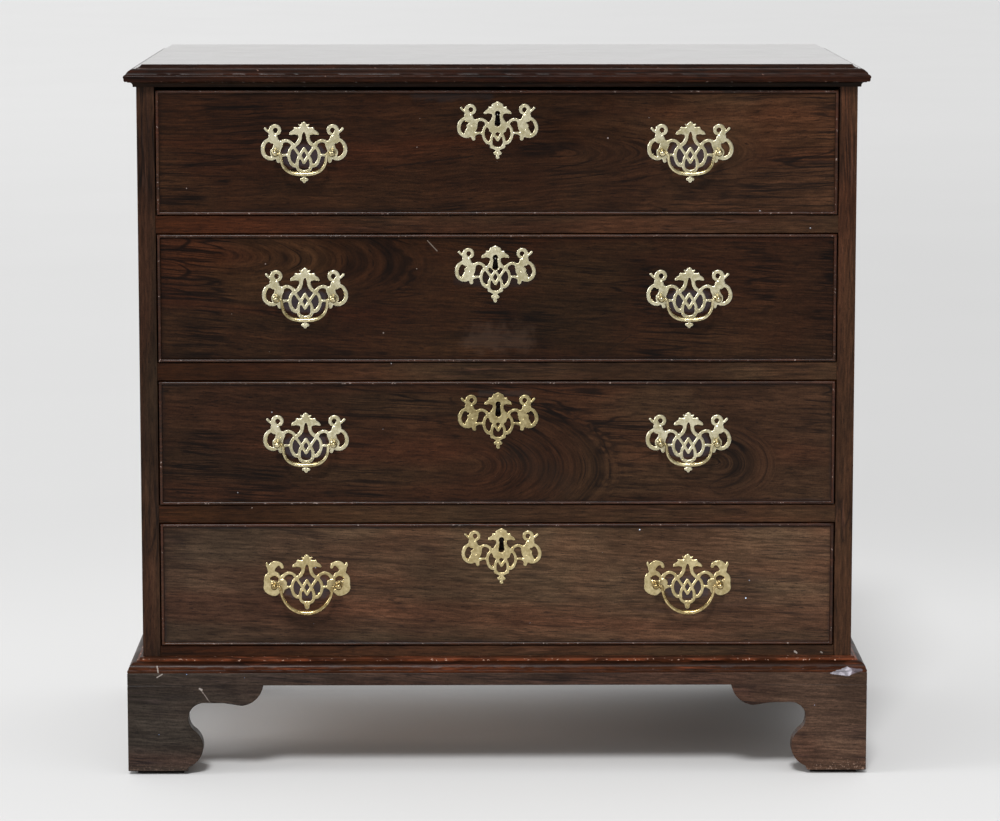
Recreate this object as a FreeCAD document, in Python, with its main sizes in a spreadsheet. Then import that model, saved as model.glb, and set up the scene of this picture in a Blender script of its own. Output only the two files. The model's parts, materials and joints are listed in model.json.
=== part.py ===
import FreeCAD, Part
import math
import os
import Sketcher

# A Georgian bachelor's chest of four long graduated drawers on bracket feet.
# Millimetres, +Z up from the floor, +X to the right, the drawer fronts face -Y.
# X = 0 and Y = 0 are the middle of the whole piece.

Vec = FreeCAD.Vector
doc = FreeCAD.newDocument("bachelors_chest")
sheet = doc.addObject("Spreadsheet::Sheet", "sizes")

driving = {
    # case
    "case_width": 884,
    "case_depth": 494,
    "side_thick": 22,
    "top_thick": 20.5,
    "top_overhang": 14.5,
    "top_edge_inset": 20.8,
    "top_rail_height": 6.7,
    "top_moulding_reach": 9.8,
    "rail_height": 22,
    "rail_depth": 75,
    "bottom_rail_height": 15,
    "bottom_board_thick": 16,
    "bottom_lap": 12,
    "housing_depth": 8,
    "housing_stop": 12,
    "runner_width": 40,
    "dustboard_thick": 8,
    "dustboard_groove": 6,
    "back_thick": 12,
    "back_rebate": 10,
    "back_board_gap": 0.8,
    "stop_width": 34,
    "stop_depth": 22,
    "stop_height": 5,
    "stop_spacing": 520,
    # base
    "pad_height": 4.7,
    "pad_width": 58,
    "pad_inset": 11,
    "foot_height": 108.8,
    "foot_thick": 20,
    "bracket_width": 169,
    "rear_bracket_width": 110,
    "block_width": 38,
    "glue_block_height": 20,
    "glue_block_length": 70,
    "plinth_height": 15.4,
    "plinth_member": 62,
    "base_projection": 18.5,
    "base_moulding_height": 17.6,
    # drawers, numbered from the top
    "drawer_one_height": 153.3,
    "drawer_two_height": 158.5,
    "drawer_three_height": 154.4,
    "drawer_four_height": 153.8,
    "drawer_back_gap": 20,
    "drawer_side_gap": 1.5,
    "drawer_gap_below": 0.9,
    "drawer_gap_above": 1.2,
    "top_drawer_gap": 4.1,
    "slide_gap": 0.3,
    "front_thick": 22,
    "front_lap": 11.5,
    "lining_thick": 10,
    "lining_drop": 5,
    "back_drop": 6,
    "drawer_back_thick": 9,
    "bottom_thick": 6,
    "bottom_raise": 10,
    "groove_depth": 5,
    "tail_flare": 3,
    "bead_thick": 4,
    "bead_seat": 10,
    "bead_proud": 2.5,
    # locks
    "lock_width": 62,
    "lock_height": 46,
    "lock_thick": 11,
    "bolt_width": 27,
    "bolt_thick": 6,
    "bolt_height": 20,
    "bolt_throw": 9,
    "bolt_clearance": 0.35,
    "key_width": 6.4,
    "key_height": 18.6,
    "key_drop": 34,
    "low_key_drop": 26,
    "key_pin": 2.6,
    "key_pin_reach": 2,
    "key_clearance": 0.4,
    "lock_plate_thick": 2,
    "mortise_spare": 1,
    # brasses
    "handle_spacing": 474,
    "plate_width": 107.4,
    "plate_thick": 1.6,
    "boring": 70,
    "low_boring": 80,
    "escutcheon_width": 101,
    "pivot_reach": 15.5,
    "post_reach": 20,
    "post_head": 4.3,
    "post_band": 3.4,
    "post_neck": 2.5,
    "post_flange": 4.8,
    "shank": 2.4,
    "shank_clearance": 0.15,
    "nut": 7.5,
    "nut_height": 4,
    "bail_pin": 1.3,
    "pin_entry": 1.2,
    "bore_entry": 1.6,
    "shoulder_gap": 0.3,
    "pin_clearance": 0.3,
    "bail_leg": 1.85,
    "bail_grip": 3.2,
    "bail_span": 55.8,
    "bail_drop": 25.4,
    "low_bail_span": 64,
    "low_bail_drop": 33.3,
}


# A length that remembers the sheet expression it came from, so that sums of sizes stay bound to the sheet.
class Length:
    def __init__(self, value, text):
        self.value = float(value)
        self.text = text

    def __float__(self):
        return self.value

    def __add__(self, other):
        other = length(other)
        return Length(self.value + other.value, f"({self.text} + {other.text})")

    def __sub__(self, other):
        other = length(other)
        return Length(self.value - other.value, f"({self.text} - {other.text})")

    def __mul__(self, factor):
        return Length(self.value * factor, f"({self.text} * {factor})")

    def __truediv__(self, factor):
        return Length(self.value / factor, f"({self.text} / {factor})")

    def __neg__(self):
        return Length(-self.value, f"(0 - {self.text})")

    def __radd__(self, other):
        return length(other) + self

    def __rsub__(self, other):
        return length(other) - self


def length(amount):
    return amount if isinstance(amount, Length) else Length(amount, f"({float(amount)!r})")


for row, (alias, amount) in enumerate(driving.items(), start=1):
    sheet.set(f"A{row}", alias.replace("_", " "))
    sheet.set(f"B{row}", str(amount))
    sheet.setAlias(f"B{row}", alias)
doc.recompute()
size = {alias: Length(sheet.get(alias), f"sizes.{alias}") for alias in driving}
nodes = []


# ---------------------------------------------------------------- document helpers

def keep(item, label):
    item.Label = label
    nodes.append(item)
    return item


def board(name, x, y, z):
    # a squared board between a low and a high value along each axis
    box = doc.addObject("Part::Box", name)
    for side, axis, (low, high) in zip(("Length", "Width", "Height"), "xyz", (x, y, z)):
        low = length(low)
        box.setExpression(side, (high - low).text)
        box.setExpression(f"Placement.Base.{axis}", low.text)
    return box


def both_ways(half):
    return (-half, half)


def mirrored(name, source):
    # the same piece on the other side of the middle plane
    twin = doc.addObject("Part::Mirroring", name)
    twin.Source = source
    twin.Base = Vec(0, 0, 0)
    twin.Normal = Vec(1, 0, 0)
    return twin


def group(name, pieces):
    set_of_pieces = doc.addObject("Part::Compound", name)
    set_of_pieces.Links = pieces
    return set_of_pieces


def fuse(name, pieces):
    whole = doc.addObject("Part::MultiFuse", name)
    whole.Shapes = pieces
    whole.Refine = True
    return whole


def cut(name, base, tools):
    result = doc.addObject("Part::Cut", name)
    result.Base = base
    result.Tool = tools[0] if len(tools) == 1 else group(name + "_tools", tools)
    result.Refine = True
    return result


def common(name, first, second):
    overlap = doc.addObject("Part::Common", name)
    overlap.Base = first
    overlap.Tool = second
    return overlap


def prism(name, plane, outline, low, high):
    # A body padded from a closed outline. The outline is drawn in the XY, XZ or YZ plane and runs from low
    # to high along the third axis. A step of two points is an arc: through the first, to the second.
    body = doc.addObject("PartDesign::Body", name)
    sketch = body.newObject("Sketcher::SketchObject", name + "_outline")
    role = plane + "_Plane"
    sketch.AttachmentSupport = [(f, "") for f in body.Origin.OriginFeatures if f.Role == role]
    sketch.MapMode = "FlatFace"
    at = Vec(*map(float, outline[0]), 0)
    edges = []
    for step in list(outline[1:]) + [outline[0]]:
        if isinstance(step[0], tuple):
            through = Vec(*map(float, step[0]), 0)
            to = Vec(*map(float, step[1]), 0)
            edges.append(sketch.addGeometry(Part.ArcOfCircle(at, through, to), False))
        else:
            to = Vec(*map(float, step), 0)
            if (to - at).Length < 1e-6:
                continue
            edges.append(sketch.addGeometry(Part.LineSegment(at, to), False))
        at = to
    corners = edges[1:] + edges[:1]
    for edge, following in zip(edges, corners):
        ends = [(a, b) for a in (1, 2) for b in (1, 2)]
        a, b = min(ends, key=lambda e: (sketch.getPoint(edge, e[0]) - sketch.getPoint(following, e[1])).Length)
        sketch.addConstraint(Sketcher.Constraint("Coincident", edge, a, following, b))
    pad = body.newObject("PartDesign::Pad", name + "_pad")
    pad.Profile = sketch
    low = length(low)
    pad.setExpression("Length", (high - low).text)
    # the XZ plane of a body faces -Y, so its pad is turned round to run towards +Y
    pad.Reversed = plane == "XZ"
    body.setExpression("Placement.Base." + {"XY": "z", "XZ": "y", "YZ": "x"}[plane], low.text)
    return body


def placed(outline, place):
    # every point of a drawn outline put where place(across, height) says; a step of two points stays an arc
    return [
        tuple(place(*point) for point in step) if isinstance(step[0], tuple) else place(*step) for step in outline
    ]


def stretched(outline, drawn, wanted):
    # an outline drawn at one (width, height), brought to the wanted one
    wide = float(wanted[0]) / drawn[0]
    tall = float(wanted[1]) / drawn[1]
    return placed(outline, lambda across, height: (across * wide, height * tall))


def solid_piece(name, shape, x=0, y=0, z=0):
    # a piece whose shape is worked out here, set down at a point
    piece = doc.addObject("Part::Feature", name)
    piece.Shape = shape
    piece.Placement = FreeCAD.Placement(Vec(float(x), float(y), float(z)), FreeCAD.Rotation())
    return piece


# ---------------------------------------------------------------- levels and planes

# every cutter runs this far past the wood that it cuts
past = 1

half_case = size["case_width"] / 2
half_opening = half_case - size["side_thick"]
front = (size["post_reach"] - size["case_depth"]) / 2
back = front + size["case_depth"]
back_inside = back - size["back_thick"]
half_base = half_case + size["base_projection"]
base_front = front - size["base_projection"]

plinth_bottom = size["pad_height"] + size["foot_height"]
case_bottom = plinth_bottom + size["plinth_height"]
bottom_board_top = case_bottom + size["bottom_board_thick"]

drawer_heights = [size[f"drawer_{word}_height"] for word in ("one", "two", "three", "four")]
drawer_count = len(drawer_heights)

# every rail is (low, high); every drawer is (low, high) of its front
rails = [(bottom_board_top, bottom_board_top + size["bottom_rail_height"])]
drawers = {}
for number in range(drawer_count, 0, -1):
    drawer_low = rails[-1][1] + size["drawer_gap_below"]
    drawer_high = drawer_low + drawer_heights[number - 1]
    drawers[number] = (drawer_low, drawer_high)
    gap = size["top_drawer_gap"] if number == 1 else size["drawer_gap_above"]
    thick = size["top_rail_height"] if number == 1 else size["rail_height"]
    rails.append((drawer_high + gap, drawer_high + gap + thick))
top_low = rails[-1][1]
top_high = top_low + size["top_thick"]

rail_front = front
rail_back = front + size["rail_depth"]
tongue_front = front + size["housing_stop"]
housed = half_opening + size["housing_depth"]

# keyholes sit a little to one side or the other, as the fitter set them
key_shift = {1: 0.4, 2: -2.4, 3: 1.0, 4: 5.2}
key_z = {}
for number in drawers:
    drop = size["low_key_drop"] if number == drawer_count else size["key_drop"]
    key_z[number] = drawers[number][1] - drop

lock_back = front + size["front_thick"]
lock_front = lock_back - size["lock_thick"]
bolt_front = lock_front + (size["lock_thick"] - size["bolt_thick"]) / 2
bolt_back = bolt_front + size["bolt_thick"]


# ---------------------------------------------------------------- carcass

# the waste over the top's edge, (inset, height): fillet, cove, fillet, ovolo and half-round nose
top_edge = [
    (20.8, 23.5), (20.8, 19.6), (20, 19.3), ((17.9, 17.2), (14.6, 16.6)), (14.6, 15.9),
    ((7.2, 14), (2.6, 8.8)), (1.4, 8.2), (0, 6.9), (-3, 6.9), (-3, 23.5),
]
top_arris = [(-3, -3), (1.6, -3), (1.6, 0), (0, 1.6), (-3, 1.6)]
top_drawn = (20.8, 20.5)


def make_top_board():
    # a solid top with a moulded edge worked on the front and the two ends
    plan_half = half_case + size["top_overhang"]
    nose = front - size["top_overhang"]
    blank = board("top_blank", both_ways(plan_half), (nose, back), (top_low, top_high))

    def from_front(inset, rise):
        return (nose + inset, top_low + rise)

    def from_right(inset, rise):
        return (plan_half - inset, top_low + rise)

    waste = []
    for part, drawn in (("upper", top_edge), ("lower", top_arris)):
        shape = stretched(drawn, top_drawn, (size["top_edge_inset"], size["top_thick"]))
        along = prism(f"top_front_{part}", "YZ", placed(shape, from_front), -plan_half - past, plan_half + past)
        right = prism(f"top_right_{part}", "XZ", placed(shape, from_right), nose - past, back + past)
        waste += [along, right, mirrored(f"top_left_{part}", right)]
    keep(cut("top_board_cut", blank, [fuse("top_waste", waste)]), "top_board")


def mitred_surround(name, profile, half_width, front_face, reach, low, top):
    # Three lengths of one moulding round the front and ends of the case, mitred at the front corners.
    # The profile is drawn as (projection, rise).
    def on_front(out, rise):
        return (front_face - out, low + rise)

    def on_right(out, rise):
        return (half_width + out, low + rise)

    corner_x = half_width + reach
    corner_y = front_face - reach
    front_bar = prism(f"{name}_front_bar", "YZ", placed(profile, on_front), -corner_x, corner_x)
    side_bar = prism(f"{name}_side_bar", "XZ", placed(profile, on_right), corner_y, back)
    front_plan = [
        (-half_width, front_face), (half_width, front_face), (corner_x, corner_y), (-corner_x, corner_y),
    ]
    side_plan = [(half_width, back), (half_width, front_face), (corner_x, corner_y), (corner_x, back)]
    front_strip = common(f"{name}_front", front_bar, prism(f"{name}_front_plan", "XY", front_plan, low, top))
    side_strip = common(f"{name}_right", side_bar, prism(f"{name}_side_plan", "XY", side_plan, low, top))
    return [front_strip, side_strip, mirrored(f"{name}_left", side_strip)]


# the cove under the top, drawn 9.8 deep and 6.7 tall
cove = [(0, 0), (3.8, 0), (3.8, 1.6), ((5, 4.4), (8.4, 5.7)), (9.8, 5.7), (9.8, 6.7), (0, 6.7)]
cove_drawn = (9.8, 6.7)


def make_top_moulding():
    reach = size["top_moulding_reach"]
    profile = stretched(cove, cove_drawn, (reach, size["top_rail_height"]))
    strips = mitred_surround("top_moulding", profile, half_case, front, reach, rails[-1][0], top_low)
    keep(group("top_moulding_set", strips), "top_moulding")


def make_sides():
    # solid sides; their front edges stay whole because the housings for the rails stop short of them
    slab = board("side_slab", (-half_case, -half_opening), (front, back), (case_bottom, top_low))
    waste = [
        board("side_bottom_lap", (-half_opening - size["bottom_lap"], -half_opening + past),
              (front - past, back + past), (case_bottom - past, bottom_board_top)),
        board("side_back_rebate", (-half_opening - size["back_rebate"], -half_opening + past),
              (back_inside, back + past), (bottom_board_top, top_low + past)),
    ]
    for index, (low, high) in enumerate(rails):
        stop = back_inside if index < len(rails) - 1 else rail_back
        waste.append(board(f"side_housing_{index}", (-housed, -half_opening + past),
                           (tongue_front, stop), (low, high)))
    left = cut("side_left_cut", slab, [fuse("side_waste", waste)])
    keep(left, "side_left")
    keep(mirrored("side_right_mirror", left), "side_right")


def make_rails():
    # dividing rails between the drawers, housed in the sides, with the mortises for the lock bolts
    pieces = []
    for index, (low, high) in enumerate(rails):
        bar = board(f"rail_bar_{index}", both_ways(half_opening), (rail_front, rail_back), (low, high))
        tongue = board(f"rail_tongue_{index}", both_ways(housed), (tongue_front, rail_back), (low, high))
        rail = fuse(f"rail_{index}", [bar, tongue])
        waste = []
        if 0 < index < len(rails) - 1:
            waste.append(dustboard_slot(f"rail_slot_{index}", index, "rail"))
        if index > 0:
            number = drawer_count + 1 - index
            shift = key_shift[number]
            half = size["bolt_width"] / 2 + size["bolt_clearance"]
            roof = low + size["bolt_throw"] + size["mortise_spare"] if index < len(rails) - 1 else high + past
            waste.append(board(f"mortise_{index}", (shift - half, shift + half),
                               (bolt_front - size["bolt_clearance"], bolt_back + size["bolt_clearance"]),
                               (low - past, roof)))
        pieces.append(cut(f"rail_cut_{index}", rail, waste) if waste else rail)
    keep(group("rail_set", pieces), "drawer_rails")


runner_inner = half_opening - size["runner_width"]
dust_half = runner_inner + size["dustboard_groove"]
dust_front = rail_back - size["dustboard_groove"]


def dustboard_height(index):
    low, high = rails[index]
    middle = (low + high) / 2
    return (middle - size["dustboard_thick"] / 2, middle + size["dustboard_thick"] / 2)


def dustboard_slot(name, index, owner):
    # the groove that takes a dustboard, in the back of its rail or the inner edge of a runner
    if owner == "rail":
        return board(name, both_ways(dust_half), (dust_front, rail_back + past), dustboard_height(index))
    return board(name, (-dust_half, -runner_inner + past), (rail_back - past, back_inside + past),
                 dustboard_height(index))


def make_dustboards():
    pieces = [
        board(f"dustboard_{index}", both_ways(dust_half), (dust_front, back_inside), dustboard_height(index))
        for index in range(1, drawer_count)
    ]
    keep(group("dustboard_set", pieces), "dustboards")


def make_runners():
    # bearers behind the rails, housed in the sides, that carry the drawers
    pieces = []
    for index in range(drawer_count):
        runner = board(f"runner_blank_{index}", (-housed, -runner_inner), (rail_back, back_inside), rails[index])
        if index > 0:
            runner = cut(f"runner_{index}", runner, [dustboard_slot(f"runner_slot_{index}", index, "runner")])
        pieces += [runner, mirrored(f"runner_right_{index}", runner)]
    keep(group("runner_set", pieces), "drawer_runners")


def make_stops():
    # little blocks glued on the rails that stop each drawer with its front in line with the case
    pieces = []
    for index in range(drawer_count):
        top_of_rail = rails[index][1]
        middle = size["stop_spacing"] / 2
        half = size["stop_width"] / 2
        near = lock_back + size["slide_gap"]
        block = board(f"stop_{index}", (-middle - half, -middle + half), (near, near + size["stop_depth"]),
                      (top_of_rail, top_of_rail + size["stop_height"]))
        pieces += [block, mirrored(f"stop_right_{index}", block)]
    keep(group("stop_set", pieces), "drawer_stops")


def make_bottom_and_back():
    keep(board("bottom_plank", both_ways(half_opening + size["bottom_lap"]), (front, back),
               (case_bottom, bottom_board_top)), "bottom_board")
    # horizontal backboards nailed in the rebates of the sides, with shrinkage gaps between them
    planks = 4
    step = (top_low - bottom_board_top) / planks
    pieces = []
    for index in range(planks):
        low = bottom_board_top + step * index
        high = low + step - (size["back_board_gap"] if index < planks - 1 else 0)
        pieces.append(board(f"back_plank_{index}", both_ways(half_opening + size["back_rebate"]),
                            (back_inside, back), (low, high)))
    keep(group("back_set", pieces), "back_boards")


# ---------------------------------------------------------------- base

# the moulding round the base, drawn 18.5 deep and 17.6 tall: a rounded lip, a quirk, an ovolo and fillets
ovolo = [
    (0, 0), (17.7, 0), (18.5, 1.2), (18.5, 3.6), (17, 5.2), (17.1, 6), ((13.9, 10.9), (7.3, 13.4)), (7.3, 14.2),
    (4.5, 14.8), (3.7, 17.6), (0, 17.6),
]
ovolo_drawn = (18.5, 17.6)


def make_base_moulding():
    reach = size["base_projection"]
    tall = size["base_moulding_height"]
    profile = stretched(ovolo, ovolo_drawn, (reach, tall))
    strips = mitred_surround("base_moulding", profile, half_case, front, reach, case_bottom, case_bottom + tall)
    keep(group("base_moulding_set", strips), "base_moulding")


def make_plinth():
    # a flat frame under the case, mitred at the front, whose edge shows as the frieze over the feet
    wide = size["plinth_member"]
    inner_x = half_base - wide
    inner_y = base_front + wide
    members = {
        "front": [(-half_base, base_front), (half_base, base_front), (inner_x, inner_y), (-inner_x, inner_y)],
        "right": [(half_base, base_front), (half_base, back), (inner_x, back), (inner_x, inner_y)],
        "rear": [(-inner_x, back - wide), (inner_x, back - wide), (inner_x, back), (-inner_x, back)],
    }
    pieces = {
        side: prism(f"plinth_{side}", "XY", plan, plinth_bottom, case_bottom) for side, plan in members.items()
    }
    pieces["left"] = mirrored("plinth_left", pieces["right"])
    keep(group("plinth_set", list(pieces.values())), "plinth_frame")


# the sawn face of a bracket foot, drawn 169 wide and 108.8 tall: (distance from the corner, height)
bracket_face = [
    (0, 0), (73.5, 0), (75.5, 5), (80, 7.4), ((93.4, 28), (84.7, 50.2)), ((75.9, 70.8), (94, 86.6)),
    (120, 86.2), (142, 82.8), ((158.5, 89.8), (169, 108.8)), (0, 108.8),
]
bracket_drawn = (169, 108.8)


def make_feet():
    low = size["pad_height"]
    thick = size["foot_thick"]
    corner_x = half_base - thick
    corner_y = base_front + thick

    face = stretched(bracket_face, bracket_drawn, (size["bracket_width"], size["foot_height"]))

    def on_front(along, height):
        return (-half_base + along, low + height)

    def on_side(along, height):
        return (base_front + along, low + height)

    def on_rear_side(along, height):
        return (back - along, low + height)

    reach = size["bracket_width"] + thick
    front_plan = [
        (-half_base, base_front), (-half_base + reach, base_front), (-half_base + reach, corner_y),
        (-corner_x, corner_y),
    ]
    side_plan = [
        (-half_base, base_front), (-half_base, base_front + reach), (-corner_x, base_front + reach),
        (-corner_x, corner_y),
    ]
    front_bracket = common(
        "bracket_front",
        prism("bracket_front_face", "XZ", placed(face, on_front), base_front, corner_y),
        prism("bracket_front_plan", "XY", front_plan, low, plinth_bottom))
    side_bracket = common(
        "bracket_side",
        prism("bracket_side_face", "YZ", placed(face, on_side), -half_base, -corner_x),
        prism("bracket_side_plan", "XY", side_plan, low, plinth_bottom))
    keep(group("front_feet_set", [
        front_bracket, side_bracket,
        mirrored("bracket_front_right", front_bracket), mirrored("bracket_side_right", side_bracket),
    ]), "front_feet")

    rear_side = prism("bracket_rear_side", "YZ", placed(face, on_rear_side), -half_base, -corner_x)
    # the back of each rear foot is a plain slanted board that never shows from the front
    wide = size["rear_bracket_width"]
    slant = [
        (-corner_x, low), (-corner_x + wide * 0.5, low), (-corner_x + wide, plinth_bottom),
        (-corner_x, plinth_bottom),
    ]
    rear_plain = prism("bracket_rear", "XZ", slant, back - thick, back)
    keep(group("back_feet_set", [
        rear_side, rear_plain,
        mirrored("bracket_rear_side_right", rear_side), mirrored("bracket_rear_right", rear_plain),
    ]), "back_feet")

    # glue blocks: one upright in each corner and one along each bracket, under the plinth frame
    wide = size["block_width"]
    span = size["glue_block_length"]
    strip_low = plinth_bottom - size["glue_block_height"]
    outer_y = {"front": (corner_y, 1), "rear": (back - thick, -1)}
    blocks = []
    for place, (start, way) in outer_y.items():
        def stretch(first, second):
            near, far = start + first * way, start + second * way
            return (near, far) if way > 0 else (far, near)
        upright = board(f"block_{place}", (-corner_x, -corner_x + wide), stretch(length(0), wide),
                        (low, plinth_bottom))
        cross = board(f"strip_cross_{place}", (-corner_x + wide, -corner_x + wide + span),
                      stretch(length(0), size["glue_block_height"]), (strip_low, plinth_bottom))
        along = board(f"strip_along_{place}", (-corner_x, -corner_x + size["glue_block_height"]),
                      stretch(wide, wide + span), (strip_low, plinth_bottom))
        for piece in (upright, cross, along):
            blocks += [piece, mirrored(piece.Name + "_right", piece)]
    keep(group("block_set", blocks), "foot_blocks")

    inset = size["pad_inset"]
    pads = []
    near = base_front + inset
    far = back - inset
    for place, span_y in (("front", (near, near + size["pad_width"])), ("rear", (far - size["pad_width"], far))):
        pad = board(f"pad_{place}", (-half_base + inset, -half_base + inset + size["pad_width"]), span_y, (0, low))
        pads += [pad, mirrored(f"pad_{place}_right", pad)]
    keep(group("pad_set", pads), "foot_pads")


# ---------------------------------------------------------------- drawers

half_drawer = half_opening - size["drawer_side_gap"]
tail_end = front + size["front_lap"]
drawer_back = back_inside - size["drawer_back_gap"]
lining_inside = half_drawer - size["lining_thick"]
tails_per_joint = 3


def tail_edge(low, high, root, tip):
    # dovetails on one end of a board, from low to high: they flare from the root to the tip
    pitch = (high - low) / tails_per_joint
    flare = size["tail_flare"]
    narrow = pitch / 4
    points = []
    for index in range(tails_per_joint):
        start = low + pitch * index
        points += [
            (root, start + narrow), (tip, start + narrow - flare),
            (tip, start + pitch - narrow + flare), (root, start + pitch - narrow),
        ]
    return points


def keyhole_outline(x, z, grow=0.0):
    # a keyhole with a round head and sides that open a little towards its foot
    tall = float(size["key_height"]) + 2 * grow
    foot = float(size["key_width"]) / 2 + grow
    head = foot * 0.92
    x, z = float(x), float(z)
    shoulder = z + tall / 2 - head
    crown = z + tall / 2
    base = z - tall / 2
    return [
        (x - foot, base), (x + foot, base), (x + head, shoulder), (x + head * 0.42, crown), (x - head * 0.42, crown),
        (x - head, shoulder),
    ]


def make_drawer(number):
    low, high = drawers[number]
    tag = f"_{number}"
    bead = size["bead_thick"]
    seat = front + size["bead_seat"]
    slide = rails[drawer_count - number][1] + size["slide_gap"]
    lining_top = high - size["lining_drop"]

    # linings: two dovetailed sides and a back
    outline = tail_edge(slide, lining_top, lock_back, tail_end)
    outline = [(lock_back, slide)] + outline + [(lock_back, lining_top)]
    rear = tail_edge(slide, lining_top, drawer_back - size["drawer_back_thick"], drawer_back)
    outline += [(drawer_back - size["drawer_back_thick"], lining_top)] + rear[::-1]
    outline += [(drawer_back - size["drawer_back_thick"], slide)]
    groove_low = low + size["bottom_raise"]
    groove_high = groove_low + size["bottom_thick"]
    groove_half = lining_inside + size["groove_depth"]
    groove_front = lock_back - size["groove_depth"]
    bottom = board("bottom" + tag, both_ways(groove_half), (groove_front, drawer_back), (groove_low, groove_high))
    side_blank = prism("lining_side" + tag, "YZ", outline, -half_drawer, -lining_inside)
    side = cut("lining_left" + tag, side_blank, [bottom])
    other = mirrored("lining_right" + tag, side)
    back_blank = board("lining_back_blank" + tag, both_ways(half_drawer),
                       (drawer_back - size["drawer_back_thick"], drawer_back),
                       (groove_high, lining_top - size["back_drop"]))
    rear_board = cut("lining_back" + tag, back_blank, [group("lining_pair" + tag, [side, other])])
    keep(group("linings" + tag, [side, other, rear_board]), f"drawer_linings_{number}")
    keep(bottom, f"drawer_bottom_{number}")

    # front: the edges are rebated for the cockbead, the back is cut for the dovetails, the groove and the lock
    core = board("front_core" + tag, both_ways(half_drawer), (seat, lock_back), (low, high))
    face = board("front_face" + tag, both_ways(half_drawer - bead), (front, seat), (low + bead, high - bead))
    blank = fuse("front_blank" + tag, [core, face])
    shift = key_shift[number]
    lock_half = size["lock_width"] / 2
    lock_low = high - size["lock_height"]
    recess = board("lock_recess" + tag, (shift - lock_half, shift + lock_half), (lock_front, lock_back + past),
                   (lock_low, high + past))
    key_grow = float(size["key_clearance"])
    keyhole = prism("keyhole" + tag, "XZ", keyhole_outline(shift, key_z[number], key_grow),
                    front - past, lock_front + past)
    post_z = (low + high) / 2
    boring = size["low_boring"] if number == drawer_count else size["boring"]
    holes = []
    clear = float(size["shank"] + size["shank_clearance"])
    hole = rod(clear, -past, float(size["front_thick"]) + past, shank_sides)
    for place, x in enumerate(post_places(boring)):
        holes.append(solid_piece(f"shank_hole{tag}_{place}", hole, x, front, post_z))
    groove = board("front_groove" + tag, both_ways(groove_half), (groove_front, lock_back + past),
                   (groove_low, groove_high))
    tools = [group("socket_pair" + tag, [side, other]), groove, recess, keyhole] + holes
    keep(cut("front_cut" + tag, blank, [fuse("front_waste" + tag, tools)]), f"drawer_front_{number}")

    make_cockbeads(number, low, high, seat)
    make_lock(number, shift, lock_low, high)


def make_cockbeads(number, low, high, seat):
    # four strips let into the edges of the front, mitred, with a half-round standing proud
    bead = size["bead_thick"]
    proud = front - size["bead_proud"]
    spring = proud + bead / 2
    tag = f"_{number}"

    def section(at):
        # three flats stand for the half-round
        flat = bead / 4
        return [at(0, spring), at(flat, proud), at(bead - flat, proud), at(bead, spring), at(bead, seat), at(0, seat)]

    def from_top(down, y):
        return (y, high - down)

    def from_bottom(up, y):
        return (y, low + up)

    def from_left(across, y):
        return (-half_drawer + across, y)

    def slanted(level, inner):
        return [(-half_drawer, level), (half_drawer, level), (half_drawer - bead, inner), (-half_drawer + bead, inner)]

    top = common(
        "bead_top" + tag,
        prism("bead_top_bar" + tag, "YZ", section(from_top), -half_drawer, half_drawer),
        prism("bead_top_face" + tag, "XZ", slanted(high, high - bead), proud, seat))
    bottom = common(
        "bead_bottom" + tag,
        prism("bead_bottom_bar" + tag, "YZ", section(from_bottom), -half_drawer, half_drawer),
        prism("bead_bottom_face" + tag, "XZ", slanted(low, low + bead), proud, seat))
    upright = [(-half_drawer, low), (-half_drawer + bead, low + bead), (-half_drawer + bead, high - bead),
               (-half_drawer, high)]
    left = common(
        "bead_left" + tag,
        prism("bead_left_bar" + tag, "XY", section(from_left), low, high),
        prism("bead_left_face" + tag, "XZ", upright, proud, seat))
    strips = [top, bottom, left, mirrored("bead_right" + tag, left)]
    keep(group("bead_set" + tag, strips), f"cockbeads_{number}")


def make_lock(number, shift, lock_low, high):
    # an iron till lock let into the back of the front, with its drill pin and the bolt in its slot
    tag = f"_{number}"
    half = size["lock_width"] / 2
    bolt_half = size["bolt_width"] / 2
    play = size["bolt_clearance"]
    case = board("lock_case" + tag, (shift - half, shift + half), (lock_front, lock_back), (lock_low, high))
    slot = board("bolt_slot" + tag, (shift - bolt_half - play, shift + bolt_half + play),
                 (bolt_front - play, bolt_back + play), (high - size["bolt_height"] - play, high + past))
    key_back = lock_back - size["lock_plate_thick"]
    keyway = prism("keyway" + tag, "XZ", keyhole_outline(shift, key_z[number], float(size["key_clearance"])),
                   lock_front - past, key_back)
    body = cut("lock_body" + tag, case, [fuse("lock_waste" + tag, [slot, keyway])])
    pin_z = key_z[number] + size["key_height"] / 4
    pin_reach = size["key_pin_reach"]
    pin = rod(float(size["key_pin"]) / 2, 0, float(key_back - lock_front + pin_reach))
    drill_pin = solid_piece("drill_pin" + tag, pin, shift, lock_front - pin_reach, pin_z)
    keep(fuse("lock" + tag, [body, drill_pin]), f"lock_{number}")
    keep(board("bolt" + tag, (shift - bolt_half, shift + bolt_half), (bolt_front, bolt_back),
               (high - size["bolt_height"], high)), f"lock_bolt_{number}")


# ---------------------------------------------------------------- brasses

def post_places(boring):
    middle = size["handle_spacing"] / 2
    return [side * middle.value + end * boring.value / 2 for side in (-1, 1) for end in (-1, 1)]


def ring_of(radius, y, sides=6):
    # the corners of a regular polygon about the Y axis, flat side up
    turn = math.pi / sides
    return [
        Vec(radius * math.cos(turn * (2 * k + 1)), y, radius * math.sin(turn * (2 * k + 1))) for k in range(sides)
    ]


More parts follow.
